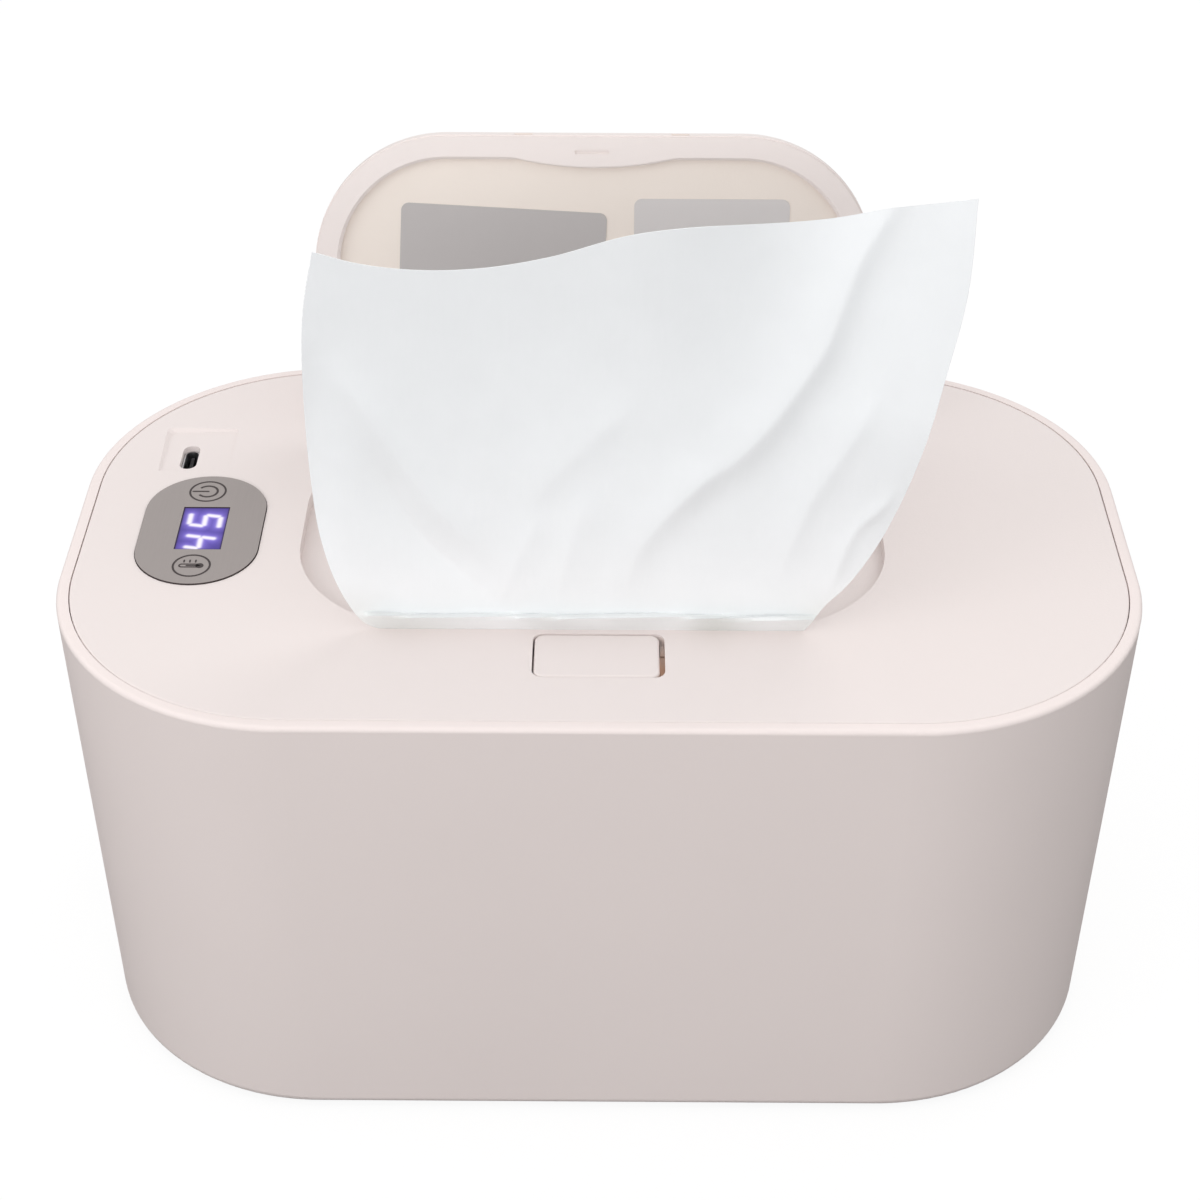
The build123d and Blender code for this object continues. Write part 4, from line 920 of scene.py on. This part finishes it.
# the part between opening and leaf: y, z and share of the leaf's width
TAIL = [(-17.2, 90.0, 0.66), (-17.3, 94.0, 0.67), (-17.6, 97.6, 0.68), (-18.6, 99.2, 0.70),
        (-21.5, 99.7, 0.75), (-25.5, 99.6, 0.84), (-29.5, 99.0, 0.93), (-31.8, 98.8, 0.97),
        (-32.8, 98.9, 0.99)]
TAIL_ROWS = 40
PLEAT_DEPTH, PLEAT_SPAN = 2.4, 3.1  # small pleats where it is gathered
PLEAT_Y, PLEAT_Z = 0.6, 0.5


def curve_through(points, count):
    """Evenly spaced points on a smooth curve through the given ones."""
    points = np.array(points, float)
    steps = np.hypot(*np.diff(points, axis=0).T)
    at = np.concatenate([[0], np.cumsum(steps)])
    slopes = np.gradient(points, at, axis=0)
    places = np.linspace(0, at[-1], count)
    found = np.clip(np.searchsorted(at, places, side="right") - 1, 0, len(steps) - 1)
    span = steps[found][:, None]
    t = ((places - at[found])[:, None]) / span
    start, end = points[found], points[found + 1]
    leaving, arriving = slopes[found] * span, slopes[found + 1] * span
    return ((2 * t**3 - 3 * t**2 + 1) * start + (t**3 - 2 * t**2 + t) * leaving
            + (3 * t**2 - 2 * t**3) * end + (t**3 - t**2) * arriving)


def rising(low, high, value):
    """Goes smoothly from 0 to 1 as value goes from low to high."""
    t = np.clip((value - low) / (high - low), 0, 1)
    return t * t * (3 - 2 * t)


def falling(low, high, value):
    """Goes smoothly from 1 to 0 as value goes from low to high."""
    return 1 - rising(low, high, value)


def hump(value, reach):
    """1 where value is 0, dying away on both sides."""
    return np.exp(-((value / reach) ** 2))


def ridges_out(x, h):
    """How far the sheet stands out of its plane because of the ridges, in mm."""
    total = np.zeros_like(x)
    for points, height, left_reach, right_reach in RIDGES:
        line = curve_through(points, RIDGE_STEPS)
        best = np.full(x.shape, 1e9)
        reach = np.ones_like(x)
        along = np.zeros_like(x)
        for k in range(len(line) - 1):
            ax, ah = line[k]
            dx, dh = line[k + 1] - line[k]
            length = math.hypot(dx, dh)
            t = np.clip(((x - ax) * dx + (h - ah) * dh) / length**2, 0, 1)
            gap = np.hypot(x - ax - t * dx, h - ah - t * dh)
            across = (x - ax) * dh - (h - ah) * dx
            nearer = gap < best
            best = np.where(nearer, gap, best)
            reach = np.where(nearer, np.where(across > 0, right_reach, left_reach), reach)
            along = np.where(nearer, (k + t) / (len(line) - 1), along)
        fade = rising(0, RIDGE_START, along) * rising(0, RIDGE_END, 1 - along)
        total += height * fade * np.exp(-((best / (FLANK_SHARE * reach)) ** FLANK_POWER))
    return total


def sweep_out(x, h):
    """The broad bends: the leaf's middle and right lean back, its right edge comes forward."""
    above = np.clip(h, 0, None)
    middle = -MIDDLE_BACK * rising(*MIDDLE_HEIGHTS, h) * hump(x - MIDDLE_X, MIDDLE_REACH)
    right = -RIGHT_BACK * (above / RIGHT_HEIGHT) ** RIGHT_POWER * rising(*RIGHT_FROM, x)
    ramp = np.hypot(x - FORWARD_X, FORWARD_ROUND) + x - FORWARD_X
    overhang = OVERHANG * (1 - np.exp(-above / OVERHANG_HEIGHT))
    return middle + right + FORWARD * ramp * rising(*FORWARD_HEIGHTS, h) + overhang


def foot_out(x, h):
    """The fold that runs along the leaf's foot."""
    crest = FOLD_CREST + CREST_WAVE * np.sin(x / 6.0) * np.sin(x / 17.0 + 1.0)
    below = np.clip(h / crest, 0, 1)
    above = falling(0, FOLD_STEEP, h - crest)
    ends = rising(*FOLD_LEFT, x) * falling(*FOLD_RIGHT, x)
    wander = 1 + FOLD_WAVE * np.sin(x / 7.0) * np.sin(x / 3.1 + 1.0)
    return FOLD_OUT * ends * wander * below * above


def damp_and_shade_share(x, h):
    """How grey the sheet is, from 0 to 1, from dampness and painted shade: in uneven patches along its
    foot, a little above, and in its lower corners.
    """
    patches = DAMP_AND_SHADE_MIDDLE + DAMP_AND_SHADE_WAVE * np.sin(x / 3.7 + 0.5) * np.sin(x / 11.0)
    for place, reach, share in DAMP_AND_SHADE_SPOTS:
        patches = patches + share * hump(x - place, reach)
    along_fold = falling(-0.3, 0.5, h - FOLD_CREST)
    creeping = CREEP * np.exp(-np.clip(h - FOLD_CREST, 0, None) / CREEP_HEIGHT)
    corners = CORNER_DAMP_AND_SHADE * rising(34, 44, np.abs(x + 1.5)) * falling(3, 12, h)
    return np.clip(patches * along_fold + creeping * (1 - along_fold) + corners, 0, 1)


class WARMER_OT_wipe(Operator):
    """Thin cloth that comes up from the opening, over the ring, and stands as a creased leaf."""

    bl_idname = "warmer.wipe"
    bl_label = "Standing wipe"

    def execute(self, context):
        verts, faces, damp_and_shade = self.sheet()
        piece = mesh_piece("wipe", verts, faces, cloth_finish(), "cover")
        layer = piece.data.color_attributes.new("damp_and_shade", "FLOAT_COLOR", "POINT")
        layer.data.foreach_set("color", np.repeat(damp_and_shade, 4))
        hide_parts("wipe_sheet")
        self.thicken(piece)
        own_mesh(piece)
        return {"FINISHED"}

    def sheet(self):
        """Points, faces and dampness of the wipe without its thickness."""
        columns, rows = sizes().cloth_columns, sizes().cloth_rows
        left = curve_through(LEFT_EDGE, rows + 1)
        right = curve_through(RIGHT_EDGE, rows + 1)
        top = curve_through(TOP_EDGE, columns + 1)
        u = np.linspace(0, 1, columns + 1)[None, :, None]
        t = np.linspace(0, 1, rows + 1)[:, None, None]
        bottom = left[0] + (right[0] - left[0]) * u[0]
        # the four edges carry the sheet; what the corners count twice is taken off again
        corners = ((1 - u) * (1 - t) * left[0] + u * (1 - t) * right[0]
                   + (1 - u) * t * left[-1] + u * t * right[-1])
        sides = (1 - u) * left[:, None, :] + u * right[:, None, :]
        flat = sides + (1 - t) * bottom[None] + t * top[None] - corners
        x, h = flat[..., 0], flat[..., 1]
        ridges = ridges_out(x, h) * sizes().fold_depth * rising(0, RIDGES_GROW, h)
        curled = rising(*CURL_FROM, h) * falling(*CURL_TO, h)
        curl = -CURL * hump(x - left[:, None, 0], CURL_REACH) * curled
        out = ridges + sweep_out(x, h) + foot_out(x, h) + curl
        plane = np.stack([x, FOOT_Y + h * math.sin(LEAN), FOOT_Z + h * math.cos(LEAN)], axis=-1)
        leaf = plane + out[..., None] * np.array(OUTWARDS)
        tail = self.tail(leaf[0, :, 0])
        grid = np.concatenate([tail, leaf], axis=0) * MM
        # the tail inside the opening gets the grey of dampness and painted shade
        damp_and_shade = np.concatenate([np.full(tail.shape[:2], TAIL_DAMP_AND_SHADE), damp_and_shade_share(x, h)], axis=0).ravel()
        tall, wide = grid.shape[:2]
        return grid.reshape(-1, 3), lattice_faces(wide, tall), damp_and_shade

    def tail(self, across):
        """Rows from inside the opening over the ring to the leaf's foot, in small pleats."""
        dense = curve_through([(y, z) for y, z, _ in TAIL], TAIL_ROWS)
        shares = [share for *_, share in TAIL]
        widths = np.interp(np.linspace(0, 1, TAIL_ROWS), np.linspace(0, 1, len(TAIL)), shares)
        rows = []
        for (y, z), share in zip(dense, widths):
            pleat = (1 - share) * PLEAT_DEPTH * np.sin(across / PLEAT_SPAN)
            rows.append(np.stack([across * share, y + pleat * PLEAT_Y, z + pleat * PLEAT_Z], axis=-1))
        return np.array(rows)

    def thicken(self, piece):
        """Gives the sheet its thickness on both sides, with sharp edges along its rim."""
        grow = piece.modifiers.new("thickness", "SOLIDIFY")
        grow.thickness = sizes().cloth_thickness
        grow.offset = 0
        graph = bpy.context.evaluated_depsgraph_get()
        made = bpy.data.meshes.new_from_object(piece.evaluated_get(graph))
        piece.modifiers.clear()
        made.set_sharp_from_angle(angle=math.radians(60))
        piece.data = made


# ---------------------------------------- sidebar and registering
class WARMER_PT_panel(Panel):
    """Sizes, colours and pieces of the warmer."""

    bl_idname = "WARMER_PT_panel"
    bl_label = "Wipe warmer"
    bl_space_type = "VIEW_3D"
    bl_region_type = "UI"
    bl_category = "Warmer"

    def draw(self, context):
        for settings in (context.scene.warmer_sizes, context.scene.warmer_colours):
            box = self.layout.box()
            for name in settings.bl_rna.properties.keys():
                if name not in ("rna_type", "name"):
                    box.prop(settings, name)
        for operator in OPERATORS:
            self.layout.operator(operator.bl_idname)


OPERATORS = [WARMER_OT_stage, WARMER_OT_housing, WARMER_OT_lid, WARMER_OT_display, WARMER_OT_keys,
             WARMER_OT_inside, WARMER_OT_wipe]
CLASSES = [WarmerSizes, WarmerColours, *OPERATORS, WARMER_PT_panel]


def register():
    for item in CLASSES:
        bpy.utils.register_class(item)
    bpy.types.Scene.warmer_sizes = PointerProperty(type=WarmerSizes)
    bpy.types.Scene.warmer_colours = PointerProperty(type=WarmerColours)


def unregister():
    del bpy.types.Scene.warmer_colours
    del bpy.types.Scene.warmer_sizes
    for item in reversed(CLASSES):
        bpy.utils.unregister_class(item)


def main():
    register()
    bpy.ops.warmer.stage()
    bpy.ops.warmer.housing()
    bpy.ops.warmer.lid()
    bpy.ops.warmer.display()
    bpy.ops.warmer.keys()
    bpy.ops.warmer.inside()
    bpy.ops.warmer.wipe()


if __name__ == "__main__":
    main()
